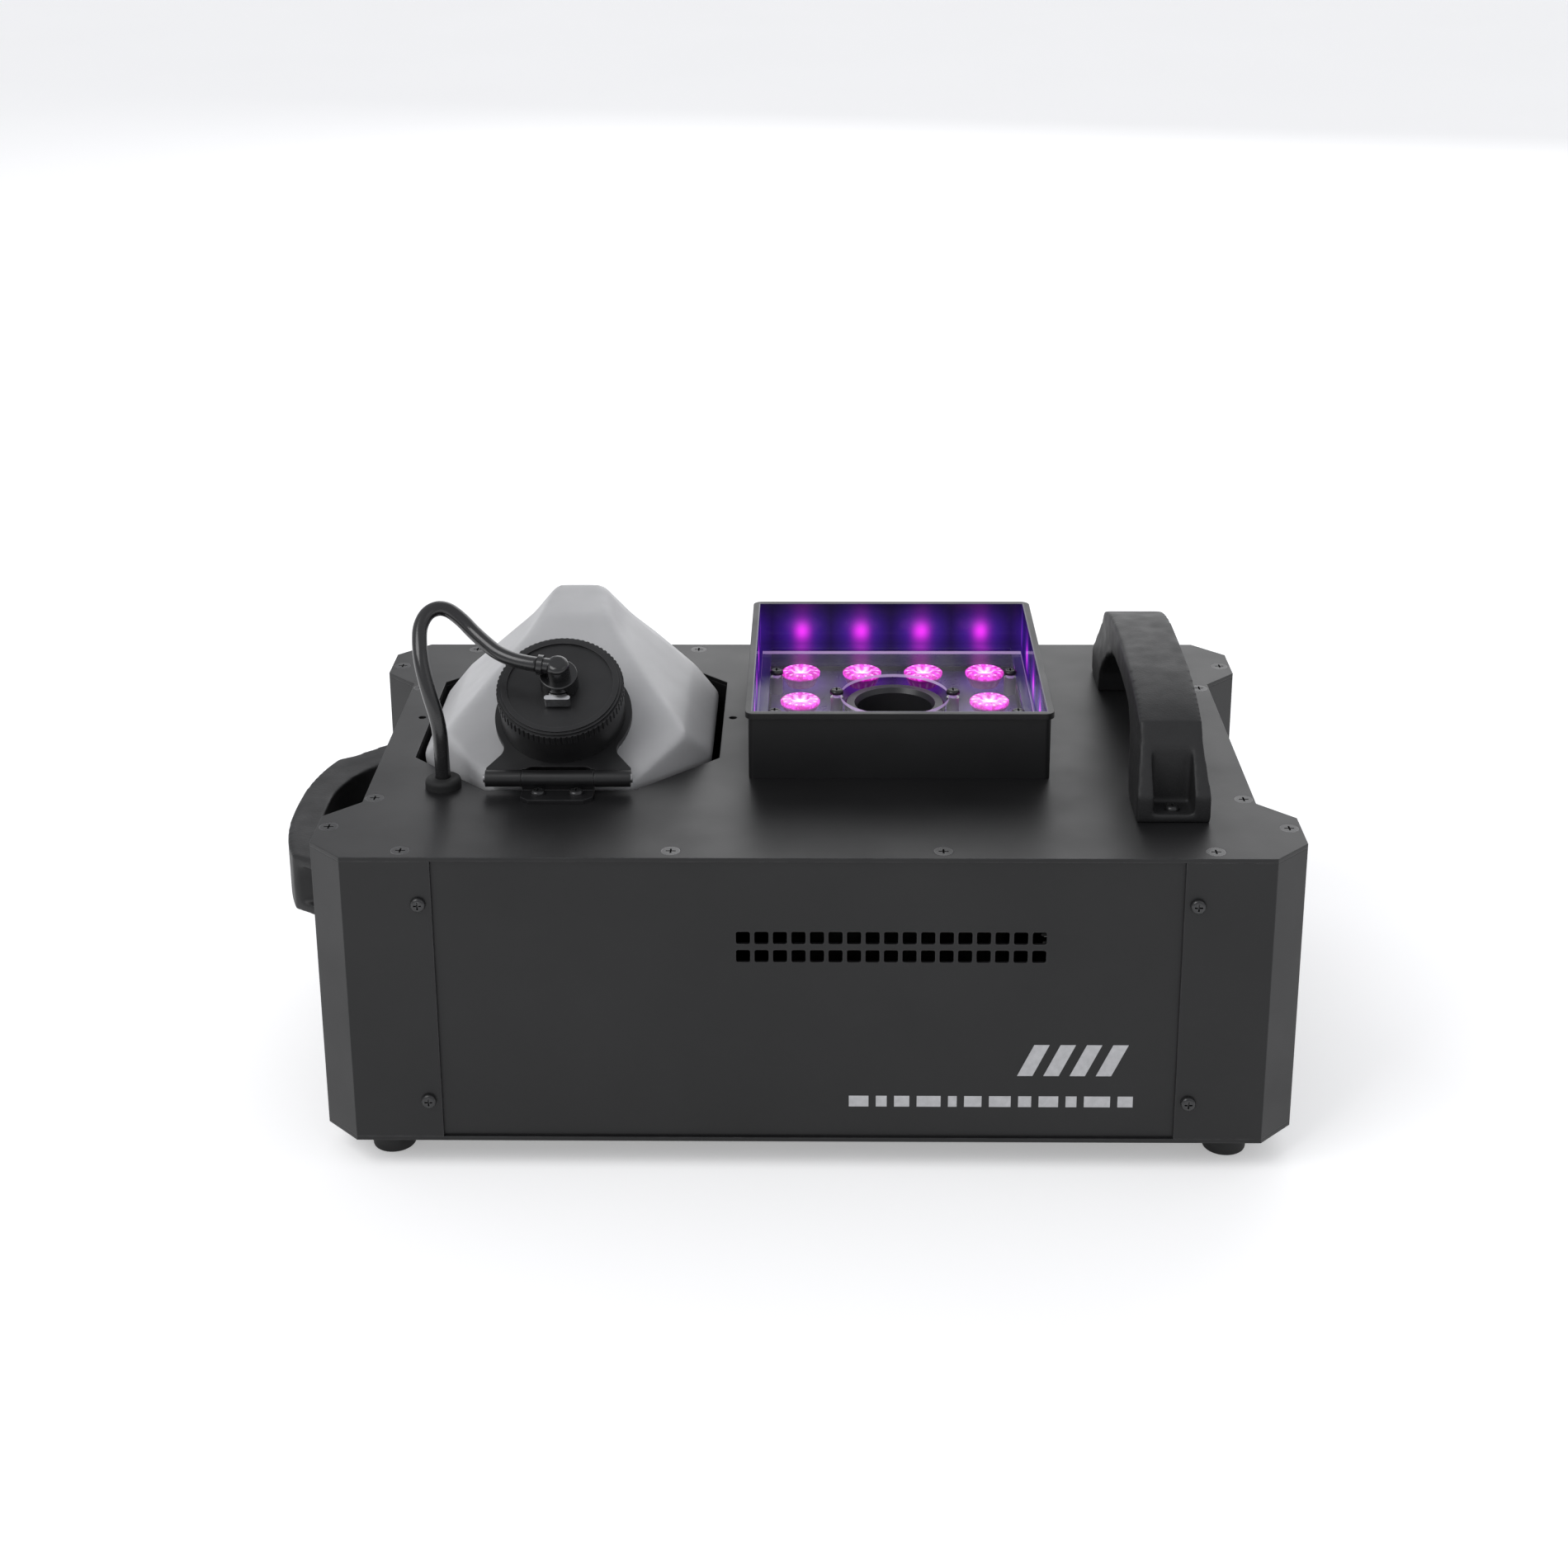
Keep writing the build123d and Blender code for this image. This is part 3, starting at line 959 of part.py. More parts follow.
def bottle_roof(inset):
    """Level from the front to the ridge, then falling towards the back."""
    with BuildPart() as roof:
        with BuildSketch(Plane.XZ.offset(-RIDGE_Y)):
            Polygon(*roof_outline(inset, 0.0), align=None)
        extrude(amount=RIDGE_Y - TANK_Y0)
        with BuildSketch(Plane.XZ.offset(-RIDGE_Y)):
            Polygon(*roof_outline(inset, 0.0), align=None)
        with BuildSketch(Plane.XZ.offset(-TANK_Y1)):
            Polygon(*roof_outline(inset, ROOF_FALL - 1.0 - 0.8 * inset), align=None)
        loft(ruled=True)
    return roof.part


def bottle_solid(inset):
    """Faceted bottle body, drawn in by inset on every side."""
    slope = math.tan(TILT)
    facet_shift = inset / math.cos(TILT)
    ridge_front_z = FACET_Z0 + (RIDGE_FRONT_Y - FACET_Y0) * slope
    roof_rise = RIDGE_Z - BOTTLE_Z0
    with BuildPart() as body:
        with BuildSketch(Plane.XY.offset(BOTTLE_Z0)):
            Polygon(*tank_points(TANK_GAP + inset, BACK_GAP + inset), align=None)
        extrude(amount=roof_rise + 1)
        with BuildSketch(Plane.YZ.offset(TANK_X - TANK_HALF_W)):
            Polygon((FACET_Y0 - 1, BOTTLE_Z0), (FACET_Y0 - 1, FACET_Z0 - facet_shift),
                    (FACET_Y0, FACET_Z0 - facet_shift), (RIDGE_FRONT_Y, ridge_front_z - facet_shift),
                    (RIDGE_Y, RIDGE_Z - inset), (RIDGE_Y + 12, RIDGE_Z - 3 - inset),
                    (BACK_KNEE_Y - inset, RIDGE_Z - 26 - inset), (TANK_Y1, BOTTLE_Z0 + 4 - inset),
                    (TANK_Y1, BOTTLE_Z0), align=None)
        extrude(amount=2 * TANK_HALF_W, mode=Mode.INTERSECT)
        add(bottle_roof(inset), mode=Mode.INTERSECT)
        with BuildSketch(Plane.XY.offset(BOTTLE_Z0)):
            Polygon(*tank_points(TANK_GAP + inset, BACK_GAP + inset), align=None)
        with BuildSketch(Plane.XY.offset(Z_TOP - PLATE_T - BOTTLE_DEPTH + inset)):
            Polygon(*tank_points(inset, inset, FOOT_HALF_W, FOOT_Y0, FOOT_Y1, FOOT_CHAMFER), align=None)
        loft(ruled=True)
    return body.part


bottle_outer = bottle_solid(0.0)
bottle_inner = bottle_solid(BOTTLE_WALL)
NECK_TOP_H = CAP_H + COLLAR_T / 2 - CAP_TOP_T - 1.5
SHOULDER_R = 27.0
NECK_ROOT = -16.0
with BuildPart() as tank_bottle:
    add(bottle_outer)
    with BuildSketch(NECK_PLANE.offset(NECK_ROOT)):
        Circle(SHOULDER_R)
    extrude(amount=-NECK_ROOT - COLLAR_T / 2 - FIT)
    with BuildSketch(NECK_PLANE.offset(NECK_ROOT)):
        Circle(NECK_R)
    extrude(amount=NECK_TOP_H - NECK_ROOT)
    add(bottle_inner, mode=Mode.SUBTRACT)
    with BuildSketch(NECK_PLANE.offset(NECK_ROOT - 8)):
        Circle(NECK_R - NECK_WALL)
    extrude(amount=NECK_TOP_H - NECK_ROOT + 9, mode=Mode.SUBTRACT)
save(tank_bottle, "tank_bottle")

# ---------------------------------------------------------------- cap and coupling
CAP_BASE = COLLAR_T / 2 + FIT
CAP_FACE = CAP_BASE + CAP_H
CAP_RING_R, CAP_DISC_R = 28.0, 25.4
with BuildPart() as tank_cap:
    with BuildSketch(NECK_PLANE.offset(CAP_BASE)):
        Circle(CAP_R - KNURL_D)
    extrude(amount=CAP_H - 2.0)
    with BuildSketch(NECK_PLANE.offset(CAP_FACE - 2.0 - KNURL_H)):
        Circle(CAP_R)
        with PolarLocations(CAP_R + 0.25, CAP_RIBS):
            Circle(0.75, mode=Mode.SUBTRACT)
    extrude(amount=KNURL_H)
    with BuildSketch(NECK_PLANE.offset(CAP_FACE - 2.0)):
        Circle(CAP_RING_R + 1.2)
    extrude(amount=1.2)
    with BuildSketch(NECK_PLANE.offset(CAP_FACE - 0.8)):
        Circle(CAP_RING_R)
    extrude(amount=0.8)
    with BuildSketch(NECK_PLANE.offset(CAP_FACE - 1.0)):
        Circle(CAP_DISC_R)
    extrude(amount=1.0, mode=Mode.SUBTRACT)
    with BuildSketch(NECK_PLANE.offset(CAP_BASE)):
        Circle(NECK_R + FIT)
    extrude(amount=CAP_H - CAP_TOP_T - 1.0, mode=Mode.SUBTRACT)
    with BuildSketch(NECK_PLANE.offset(CAP_BASE)):
        Circle(STEM_R + FIT)
    extrude(amount=CAP_H + 1, mode=Mode.SUBTRACT)
save(tank_cap, "tank_cap")

DISC_FACE = CAP_FACE - 1.0
LATCH_LIP_W, TONGUE_W = 12.2, 8.3
LATCH_TRAVEL = 1.5
STEM_LOW = NECK_TOP_H - 8.0
with BuildPart() as coupling_body:
    with BuildSketch(NECK_PLANE.offset(DISC_FACE + FIT)):
        Circle(COUPLING_R)
    extrude(amount=COUPLING_H)
    fillet(coupling_body.edges().filter_by(GeomType.CIRCLE).sort_by(SortBy.RADIUS)[-1:], 0.6)
    with BuildSketch(NECK_PLANE.offset(STEM_LOW)):
        Circle(STEM_R)
    extrude(amount=DISC_FACE + FIT - STEM_LOW)
    with BuildSketch(NECK_PLANE.offset(STEM_LOW)):
        Circle(HOSE_R + SLIP)
    extrude(amount=8, mode=Mode.SUBTRACT)
    with BuildSketch(NECK_PLANE.offset(DISC_FACE + 2.4)):
        with Locations((0, -COUPLING_R / 2 - 1.6)):
            Rectangle(TONGUE_W + 2 * FIT, COUPLING_R - 1.0)
    extrude(amount=3.2, mode=Mode.SUBTRACT)
save(coupling_body, "coupling_body")

with BuildPart() as latch_plate:
    with BuildSketch(NECK_PLANE.offset(DISC_FACE + 2.4 + FIT)):
        with Locations((0, -COUPLING_R + 0.8)):
            Rectangle(TONGUE_W, 5.2)
    extrude(amount=2.4)
    with BuildSketch(NECK_PLANE.offset(DISC_FACE + 1.4)):
        with Locations((0, -COUPLING_R - LATCH_TRAVEL - 1.7)):
            RectangleRounded(LATCH_LIP_W, 2.6, 1.2)
    extrude(amount=5.4)
save(latch_plate, "latch_plate")

ELBOW_BASE = DISC_FACE + FIT + COUPLING_H
ELBOW_AXIS = ELBOW_BASE + ELBOW_H
turn = math.radians(ELBOW_TURN)
ELBOW_PLANE = Plane(origin=NECK_PLANE.from_local_coords((0, 0, ELBOW_AXIS)), x_dir=NECK_PLANE.z_dir,
                    z_dir=NECK_PLANE.x_dir * -math.cos(turn) + NECK_PLANE.y_dir * math.sin(turn))
with BuildPart() as hose_elbow:
    with BuildSketch(NECK_PLANE.offset(ELBOW_BASE)):
        Circle(ELBOW_R)
    extrude(amount=ELBOW_H + ELBOW_ARM_R)
    round_edges = hose_elbow.edges().filter_by(GeomType.CIRCLE)
    fillet(round_edges.sort_by(Axis(NECK_PLANE.origin, NECK_PLANE.z_dir))[-1], 3.0)
    with BuildSketch(ELBOW_PLANE):
        Circle(ELBOW_ARM_R)
    extrude(amount=ELBOW_REACH)
    with BuildSketch(ELBOW_PLANE.offset(ELBOW_REACH - 2.6)):
        Circle(ELBOW_ARM_R + 1.1)
    extrude(amount=2.6)
save(hose_elbow, "hose_elbow")

PICKUP_L = 136.0
with BuildPart() as pickup_tube:
    with BuildSketch(NECK_PLANE.offset(STEM_LOW + 7)):
        Circle(HOSE_R)
        Circle(HOSE_R - 1.0, mode=Mode.SUBTRACT)
    extrude(amount=-PICKUP_L)
save(pickup_tube, "pickup_tube")


# ---------------------------------------------------------------- hoses
def corner_radii(points):
    """Largest tangent arc at each corner that its two runs leave room for."""
    radii = []
    for a, b, c in zip(points, points[1:], points[2:]):
        run_in, run_out = Vector(b) - Vector(a), Vector(c) - Vector(b)
        half_turn = math.radians(run_in.get_angle(run_out)) / 2
        radii.append(0.45 * min(run_in.length, run_out.length) / math.tan(half_turn))
    return radii


def tube(name, points, radius):
    """Round hose along straight runs joined by tangent arcs; prints its bends and its volume ratio."""
    radii = corner_radii(points)
    with BuildPart() as hose:
        with BuildLine() as route:
            FilletPolyline(*points, radius=radii)
        with BuildSketch(Plane(origin=route.line @ 0, z_dir=route.line % 0)):
            Circle(radius)
        sweep()
    length = route.wires()[0].length
    ratio = hose.part.volume / (math.pi * radius ** 2 * length)
    print(name, "radii", [round(r, 1) for r in radii])
    print(name, "length", round(length, 1), "volume ratio", round(ratio, 4))
    save(hose, name)


with BuildPart() as hose_grommet:
    with BuildSketch(Plane((GROMMET_X, GROMMET_Y, Z_TOP))):
        Circle(GROMMET_R)
    extrude(amount=GROMMET_H)
    fillet(hose_grommet.edges().group_by(Axis.Z)[-1], 2.2)
    with BuildSketch(Plane((GROMMET_X, GROMMET_Y, Z_CEIL))):
        Circle(HOSE_HOLE_R - SLIP)
    extrude(amount=PLATE_T)
    with BuildSketch(Plane((GROMMET_X, GROMMET_Y, Z_CEIL - 1.8))):
        Circle(GROMMET_R)
    extrude(amount=1.7)
    with BuildSketch(Plane((GROMMET_X, GROMMET_Y, Z_CEIL - 5))):
        Circle(HOSE_R + SLIP)
    extrude(amount=PLATE_T + GROMMET_H + 6, mode=Mode.SUBTRACT)
save(hose_grommet, "hose_grommet")

elbow_end = ELBOW_PLANE.from_local_coords((0, 0, ELBOW_REACH))
elbow_lead = ELBOW_PLANE.from_local_coords((0, 0, ELBOW_REACH + 15.0))
FEED_ROUTE = [
    (GROMMET_X, GROMMET_Y, Z_TOP),
    (GROMMET_X, GROMMET_Y, 175.0),
    (-174.2, -57.0, 191.5),
    (-178.7, -55.0, 206.7),
    (-182.2, -50.0, 218.9),
    (-183.8, -43.6, 227.0),
    (-184.2, -36.6, 233.2),
    (-180.8, -30.6, 238.2),
    (-173.8, -27.8, 239.2),
    (-166.2, -29.4, 234.4),
    (-157.8, -34.0, 226.8),
    (elbow_lead.X, elbow_lead.Y, elbow_lead.Z),
    (elbow_end.X, elbow_end.Y, elbow_end.Z),
]
tube("feed_hose", FEED_ROUTE, HOSE_R)

pump_in = (PUMP_X - PUMP_L / 2 - NIPPLE_L, PUMP_Y, PUMP_Z)
INLET_ROUTE = [
    (GROMMET_X, GROMMET_Y, Z_TOP),
    (GROMMET_X, GROMMET_Y, 124.0),
    (-171.0, -80.0, 96.0),
    (-140.0, -97.0, 82.0),
    (-90.0, -99.0, 79.0),
    (-35.0, -96.0, 80.0),
    (20.0, -97.0, 78.0),
    (62.0, -91.0, 68.0),
    (84.0, PUMP_Y, PUMP_Z),
    pump_in,
]
tube("pump_inlet_tube", INLET_ROUTE, HOSE_R)

PRESSURE_R = 2.5
pump_out = (PUMP_X + PUMP_L / 2 + NIPPLE_L, PUMP_Y, PUMP_Z)
heater_in = (HOOD_X + HEATER_W / 2 + INLET_BOSS_L, HOOD_Y, HEATER_INLET_Z)
PRESSURE_ROUTE = [
    pump_out,
    (PUMP_X + PUMP_L / 2 + NIPPLE_L + 11.0, PUMP_Y, PUMP_Z),
    (199.0, -72.0, 55.0),
    (196.0, -40.0, 60.0),
    (180.0, -5.0, 66.0),
    (152.0, 22.0, 69.5),
    (124.0, HOOD_Y, HEATER_INLET_Z),
    heater_in,
]
tube("pressure_tube", PRESSURE_ROUTE, PRESSURE_R)
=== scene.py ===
# %% [markdown]
# # A stage fog machine, from frame to finished look
# The metal frame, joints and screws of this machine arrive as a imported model. This lesson loads
# it, sets a camera and lights, makes the soft and moulded parts as meshes of their own, and then
# gives every surface a finish built from nodes. All lengths are in metres, with the floor at z = 0.

# %% Load the frame
import math

import bmesh
import bpy
from mathutils import Matrix, Vector


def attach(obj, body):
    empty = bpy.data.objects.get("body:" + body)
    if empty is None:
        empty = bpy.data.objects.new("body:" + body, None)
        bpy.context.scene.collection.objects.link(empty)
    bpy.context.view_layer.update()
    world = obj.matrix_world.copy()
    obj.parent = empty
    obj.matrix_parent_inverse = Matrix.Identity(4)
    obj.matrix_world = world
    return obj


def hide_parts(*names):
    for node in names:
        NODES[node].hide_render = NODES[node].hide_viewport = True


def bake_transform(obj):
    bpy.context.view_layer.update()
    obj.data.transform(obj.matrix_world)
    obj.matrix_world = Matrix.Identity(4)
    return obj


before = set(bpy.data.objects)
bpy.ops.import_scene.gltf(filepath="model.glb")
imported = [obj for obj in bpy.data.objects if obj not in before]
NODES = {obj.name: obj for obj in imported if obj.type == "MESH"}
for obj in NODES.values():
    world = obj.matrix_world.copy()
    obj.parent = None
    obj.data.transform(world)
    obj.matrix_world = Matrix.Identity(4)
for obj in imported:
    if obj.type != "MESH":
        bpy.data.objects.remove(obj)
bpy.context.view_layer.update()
MM = 0.001

# %% [markdown]
# ## Camera
# The machine is seen from the front, a little above, with a long lens. A camera can be aimed with
# a Track To constraint, but three small angles (pan, tilt, roll) say the same thing with no
# helper object, so the matrix is built from them directly. A vertical shift keeps the uprights
# nearly parallel, as a view camera does.

# %% Camera
LENS_MM, SENSOR_MM, SHIFT_Y = 55.35, 36.0, -0.158
CAMERA_PLACE = Vector((0.0079, -1.1092, 0.6261))
PAN, TILT_DOWN, ROLL = -0.0177, 0.3142, -0.0057

forward = Vector((math.sin(PAN) * math.cos(TILT_DOWN), math.cos(PAN) * math.cos(TILT_DOWN),
                  -math.sin(TILT_DOWN)))
right = Vector((math.cos(PAN), -math.sin(PAN), 0.0))
up = right.cross(forward)
right, up = (math.cos(ROLL) * right + math.sin(ROLL) * up,
             math.cos(ROLL) * up - math.sin(ROLL) * right)
camera_data = bpy.data.cameras.new("view_camera")
camera_data.lens, camera_data.sensor_width, camera_data.shift_y = LENS_MM, SENSOR_MM, SHIFT_Y
camera = bpy.data.objects.new("view_camera", camera_data)
aim = Matrix((right, up, -forward)).transposed().to_4x4()
camera.matrix_world = Matrix.Translation(CAMERA_PLACE) @ aim
bpy.context.scene.collection.objects.link(camera)
bpy.context.scene.camera = camera
bpy.context.scene.view_settings.view_transform = "Standard"
print("camera looks along", [round(v, 3) for v in forward])

# %% [markdown]
# ## Small helpers for node materials
# A material is a graph of nodes. Writing every link by hand hides the idea, so one helper adds a
# node and fills or links its inputs, and others give the things that nearly every finish needs:
# a noise that is fixed to the object, and a remap from one range to another. Numbers that are
# the same all over go straight onto the shader's own sockets.

# %% Node helpers
def add(tree, kind, inputs=None, **settings):
    """One node, with its settings, and with each input set to a number or linked to a socket."""
    node = tree.nodes.new(kind)
    for key, value in settings.items():
        setattr(node, key, value)
    for key, value in (inputs or {}).items():
        if isinstance(value, bpy.types.NodeSocket):
            tree.links.new(value, node.inputs[key])
        else:
            node.inputs[key].default_value = value
    return node


def calc(tree, operation, a, b=0.0, c=0.0):
    """One sum on the values a, b and c."""
    return add(tree, "ShaderNodeMath", {0: a, 1: b, 2: c}, operation=operation).outputs[0]


def axes(tree):
    """The x, y and z of the shaded point, fixed to the object."""
    point = add(tree, "ShaderNodeTexCoord").outputs["Object"]
    split = add(tree, "ShaderNodeSeparateXYZ", {0: point})
    return split.outputs[0], split.outputs[1], split.outputs[2]


def noise(tree, scale, detail=2.0, roughness=0.5, stretch=(1, 1, 1)):
    """Cloudy noise with about `scale` lumps to the metre."""
    point = add(tree, "ShaderNodeTexCoord").outputs["Object"]
    shaped = add(tree, "ShaderNodeVectorMath", {0: point, 1: stretch}, operation="MULTIPLY").outputs[0]
    settings = {"Vector": shaped, "Scale": scale, "Detail": detail, "Roughness": roughness}
    return add(tree, "ShaderNodeTexNoise", settings).outputs[0]


def remap(tree, value, low, high, start=0.3, stop=0.7):
    """Value from start..stop to low..high, held at both ends."""
    settings = {"Value": value, "From Min": start, "From Max": stop, "To Min": low, "To Max": high}
    return add(tree, "ShaderNodeMapRange", settings).outputs[0]


def mix(tree, factor, first, second, **settings):
    """A colour between first and second, each a colour or a socket."""
    colours = [c if isinstance(c, bpy.types.NodeSocket) else (*c, 1) for c in (first, second)]
    inputs = {"Fac": factor, "Color1": colours[0], "Color2": colours[1]}
    return add(tree, "ShaderNodeMixRGB", inputs, **settings).outputs[0]


FINISHES = {}


def begin(name, colour, roughness, metallic=0.0, specular=0.5, coat=0.0, coat_roughness=0.1):
    """A new material under this finish name, with its even values on the shader's sockets."""
    material = bpy.data.materials.new("finish_" + name)
    material.use_nodes = True
    shader = material.node_tree.nodes["Principled BSDF"]
    shader.inputs["Base Color"].default_value = (*colour, 1)
    shader.inputs["Roughness"].default_value = roughness
    shader.inputs["Metallic"].default_value = metallic
    shader.inputs["Specular IOR Level"].default_value = specular
    shader.inputs["Coat Weight"].default_value = coat
    shader.inputs["Coat Roughness"].default_value = coat_roughness
    FINISHES[name] = material
    return material.node_tree, shader


def mottle(tree, shader, colour, spread=0.25, scale=22.0, rough=(0.4, 0.5), edge_wear_and_sheen=None):
    """Slow changes of tone and gloss, and a lighter edge tone that is partly rubbed wear and partly a
    painted highlight.
    """
    cloud = noise(tree, scale, 4.0, 0.6)
    dark = tuple(c * (1 - spread) for c in colour)
    light = tuple(c * (1 + spread) for c in colour)
    tone = mix(tree, remap(tree, cloud, 0, 1), dark, light)
    if edge_wear_and_sheen:
        soft = add(tree, "ShaderNodeBevel", {"Radius": edge_wear_and_sheen}, samples=4).outputs[0]
        hard = add(tree, "ShaderNodeNewGeometry").outputs["Normal"]
        agree = add(tree, "ShaderNodeVectorMath", {0: soft, 1: hard}, operation="DOT_PRODUCT")
        edge = remap(tree, agree.outputs["Value"], 1, 0, 0.75, 0.98)
        wear_and_sheen_patches = remap(tree, noise(tree, 160.0, 3.0), 0.25, 0.8, 0.35, 0.65)
        # Painted highlight mixed with wear: the rounded edges get a lighter tone, partly rubbed paint
        # and partly a painted highlight along the edge.
        bare_and_highlight_tone = tuple(c * 4.5 + 0.02 for c in colour)
        tone = mix(tree, calc(tree, "MULTIPLY", edge, wear_and_sheen_patches), tone, bare_and_highlight_tone)
    tree.links.new(tone, shader.inputs["Base Color"])
    tree.links.new(remap(tree, noise(tree, scale * 2.3, 3.0), *rough), shader.inputs["Roughness"])


def grain(tree, shader, scale, depth, strength=0.6, detail=2.0, soften=None):
    """Fine surface texture as bump, over an edge rounded by `soften` metres."""
    inputs = {"Height": noise(tree, scale, detail), "Distance": depth, "Strength": strength}
    if soften:
        inputs["Normal"] = add(tree, "ShaderNodeBevel", {"Radius": soften}, samples=4).outputs[0]
    tree.links.new(add(tree, "ShaderNodeBump", inputs).outputs[0], shader.inputs["Normal"])


# %% [markdown]
# ## Powder coat
# The sheet-metal body is sprayed with a dry powder and baked: a nearly black, satin skin with a
# very fine pebbled surface. It could be a single dark colour, but then large flat panels look
# like paper. Three noises do it instead: slow clouds in tone, slow changes in gloss, and a fine
# grain as bump. A Bevel node rounds the cut edges of the sheet, which catches a thin highlight.

# %% Body coat
BODY_BLACK = (0.0092, 0.0092, 0.0096)
tree, shader = begin("body_coat", BODY_BLACK, 0.42, specular=0.32)
mottle(tree, shader, BODY_BLACK, 0.2, 9.0, (0.36, 0.46), edge_wear_and_sheen=0.0009)
grain(tree, shader, 1500.0, 0.00006, 0.35, soften=0.0007)

HINGE_BLACK = (0.0095, 0.0095, 0.0100)
tree, shader = begin("hinge_steel", HINGE_BLACK, 0.36, specular=0.4)
mottle(tree, shader, HINGE_BLACK, 0.25, 30.0, (0.30, 0.42), edge_wear_and_sheen=0.0006)
grain(tree, shader, 1700.0, 0.00005, 0.3, soften=0.0005)
print("finishes so far:", sorted(FINISHES))

# %% [markdown]
# ## The hood round the nozzle
# The square hood has the same satin coat outside, but its inside is gloss black and mirrors the
# lit lenses. Real mirror images of tiny bright lenses need very many samples, so the glow of each
# lens on the wall is written in the finish itself: a soft spot by the lens, a faint streak up the
# wall, and a blue-violet haze round it, all placed by the same pitch as the lenses.

# %% Glow helpers
HOOD_X, HOOD_Y = 43.5 * MM, 30.5 * MM
HOOD_HALF_X, HOOD_HALF_Y = 70.6 * MM, 76.6 * MM
LENS_PITCH_X, LENS_PITCH_Y = 32 * MM, 40 * MM
LENS_TOP = 169 * MM
GLOW_PINK, GLOW_VIOLET = (1.0, 0.03, 0.80), (0.17, 0.035, 1.0)
DARK = (0.0, 0.0, 0.0)
GLOW_Z = 177.5 * MM
SPOT_WIDTH, SPOT_HEIGHT = 3.6 * MM, 4.6 * MM
STREAK_WIDTH, STREAK_LOW, STREAK_HIGH = 4.6 * MM, 176 * MM, 193 * MM
HAZE_WIDTH, HAZE_HEIGHT = 13.0 * MM, 11.0 * MM


def bell(tree, value, width):
    """1 where value is 0, falling smoothly over about `width`."""
    ratio = calc(tree, "DIVIDE", value, width)
    return calc(tree, "EXPONENT", calc(tree, "MULTIPLY", calc(tree, "MULTIPLY", ratio, ratio), -1.0))


def off_lens(tree, x, y):
    """Distance in x and in y from the nearest lens centre."""
    half_x, half_y = LENS_PITCH_X / 2, LENS_PITCH_Y / 2
    dx = calc(tree, "WRAP", calc(tree, "SUBTRACT", x, HOOD_X + half_x), half_x, -half_x)
    dy = calc(tree, "WRAP", calc(tree, "SUBTRACT", y, HOOD_Y), half_y, -half_y)
    return dx, dy


def normal_axes(tree):
    """The parts of the face's own normal along x, y and z."""
    normal = add(tree, "ShaderNodeNewGeometry").outputs["True Normal"]
    return add(tree, "ShaderNodeSeparateXYZ", {0: normal}).outputs


# %% Hood coat
HOOD_BLACK = (0.0085, 0.0085, 0.0090)
tree, shader = begin("hood_coat", HOOD_BLACK, 0.42, specular=0.36)
mottle(tree, shader, HOOD_BLACK, 0.2, 14.0, (0.38, 0.48), edge_wear_and_sheen=0.0008)
grain(tree, shader, 1500.0, 0.00006, 0.3, soften=0.0006)
x, y, z = axes(tree)
from_x = calc(tree, "ABSOLUTE", calc(tree, "SUBTRACT", x, HOOD_X))
from_y = calc(tree, "ABSOLUTE", calc(tree, "SUBTRACT", y, HOOD_Y))
inside = calc(tree, "MULTIPLY", calc(tree, "LESS_THAN", from_x, HOOD_HALF_X),
              calc(tree, "LESS_THAN", from_y, HOOD_HALF_Y))
satin = shader.inputs["Roughness"].links[0].from_socket
gloss = calc(tree, "MULTIPLY_ADD", calc(tree, "SUBTRACT", 0.13, satin), inside, satin)
tree.links.new(gloss, shader.inputs["Roughness"])
dx, dy = off_lens(tree, x, y)
is_side = calc(tree, "GREATER_THAN", calc(tree, "ABSOLUTE", normal_axes(tree)[0]), 0.5)
along = calc(tree, "ADD", calc(tree, "MULTIPLY", dy, is_side),
             calc(tree, "MULTIPLY", dx, calc(tree, "SUBTRACT", 1.0, is_side)))
wobble = noise(tree, 60.0, 2.0, 0.5, (1, 1, 0.15))
along = calc(tree, "MULTIPLY_ADD", calc(tree, "SUBTRACT", wobble, 0.5), 0.004, along)
rise = calc(tree, "SUBTRACT", z, GLOW_Z)
spot = calc(tree, "MULTIPLY", bell(tree, along, SPOT_WIDTH), bell(tree, rise, SPOT_HEIGHT))
fading = remap(tree, z, 0.14, 0.02, STREAK_LOW, STREAK_HIGH)
streak = calc(tree, "MULTIPLY", bell(tree, along, STREAK_WIDTH), fading)
lens_glow_haze = calc(tree, "MULTIPLY", bell(tree, along, HAZE_WIDTH), bell(tree, rise, HAZE_HEIGHT))
pink = mix(tree, calc(tree, "MULTIPLY_ADD", spot, 0.75, streak), DARK, GLOW_PINK)
violet = mix(tree, calc(tree, "MULTIPLY_ADD", lens_glow_haze, 0.30, 0.014), DARK, GLOW_VIOLET)
glow = mix(tree, 1.0, pink, violet, blend_type="ADD")
tree.links.new(mix(tree, inside, DARK, glow), shader.inputs["Emission Color"])
shader.inputs["Emission Strength"].default_value = 1.0
print("hood inside mask is", round(2 * HOOD_HALF_X, 4), "by", round(2 * HOOD_HALF_Y, 4))

# %% [markdown]
# ## Lit lenses and their board
# Ten clear lenses sit over coloured light sources. Each looks like a bright pink cup with a white
# star in the middle. Glass over a real lamp would be true but slow, so the lens gives off light
# by itself: the distance from its own centre picks the colour, and the angle adds the star.

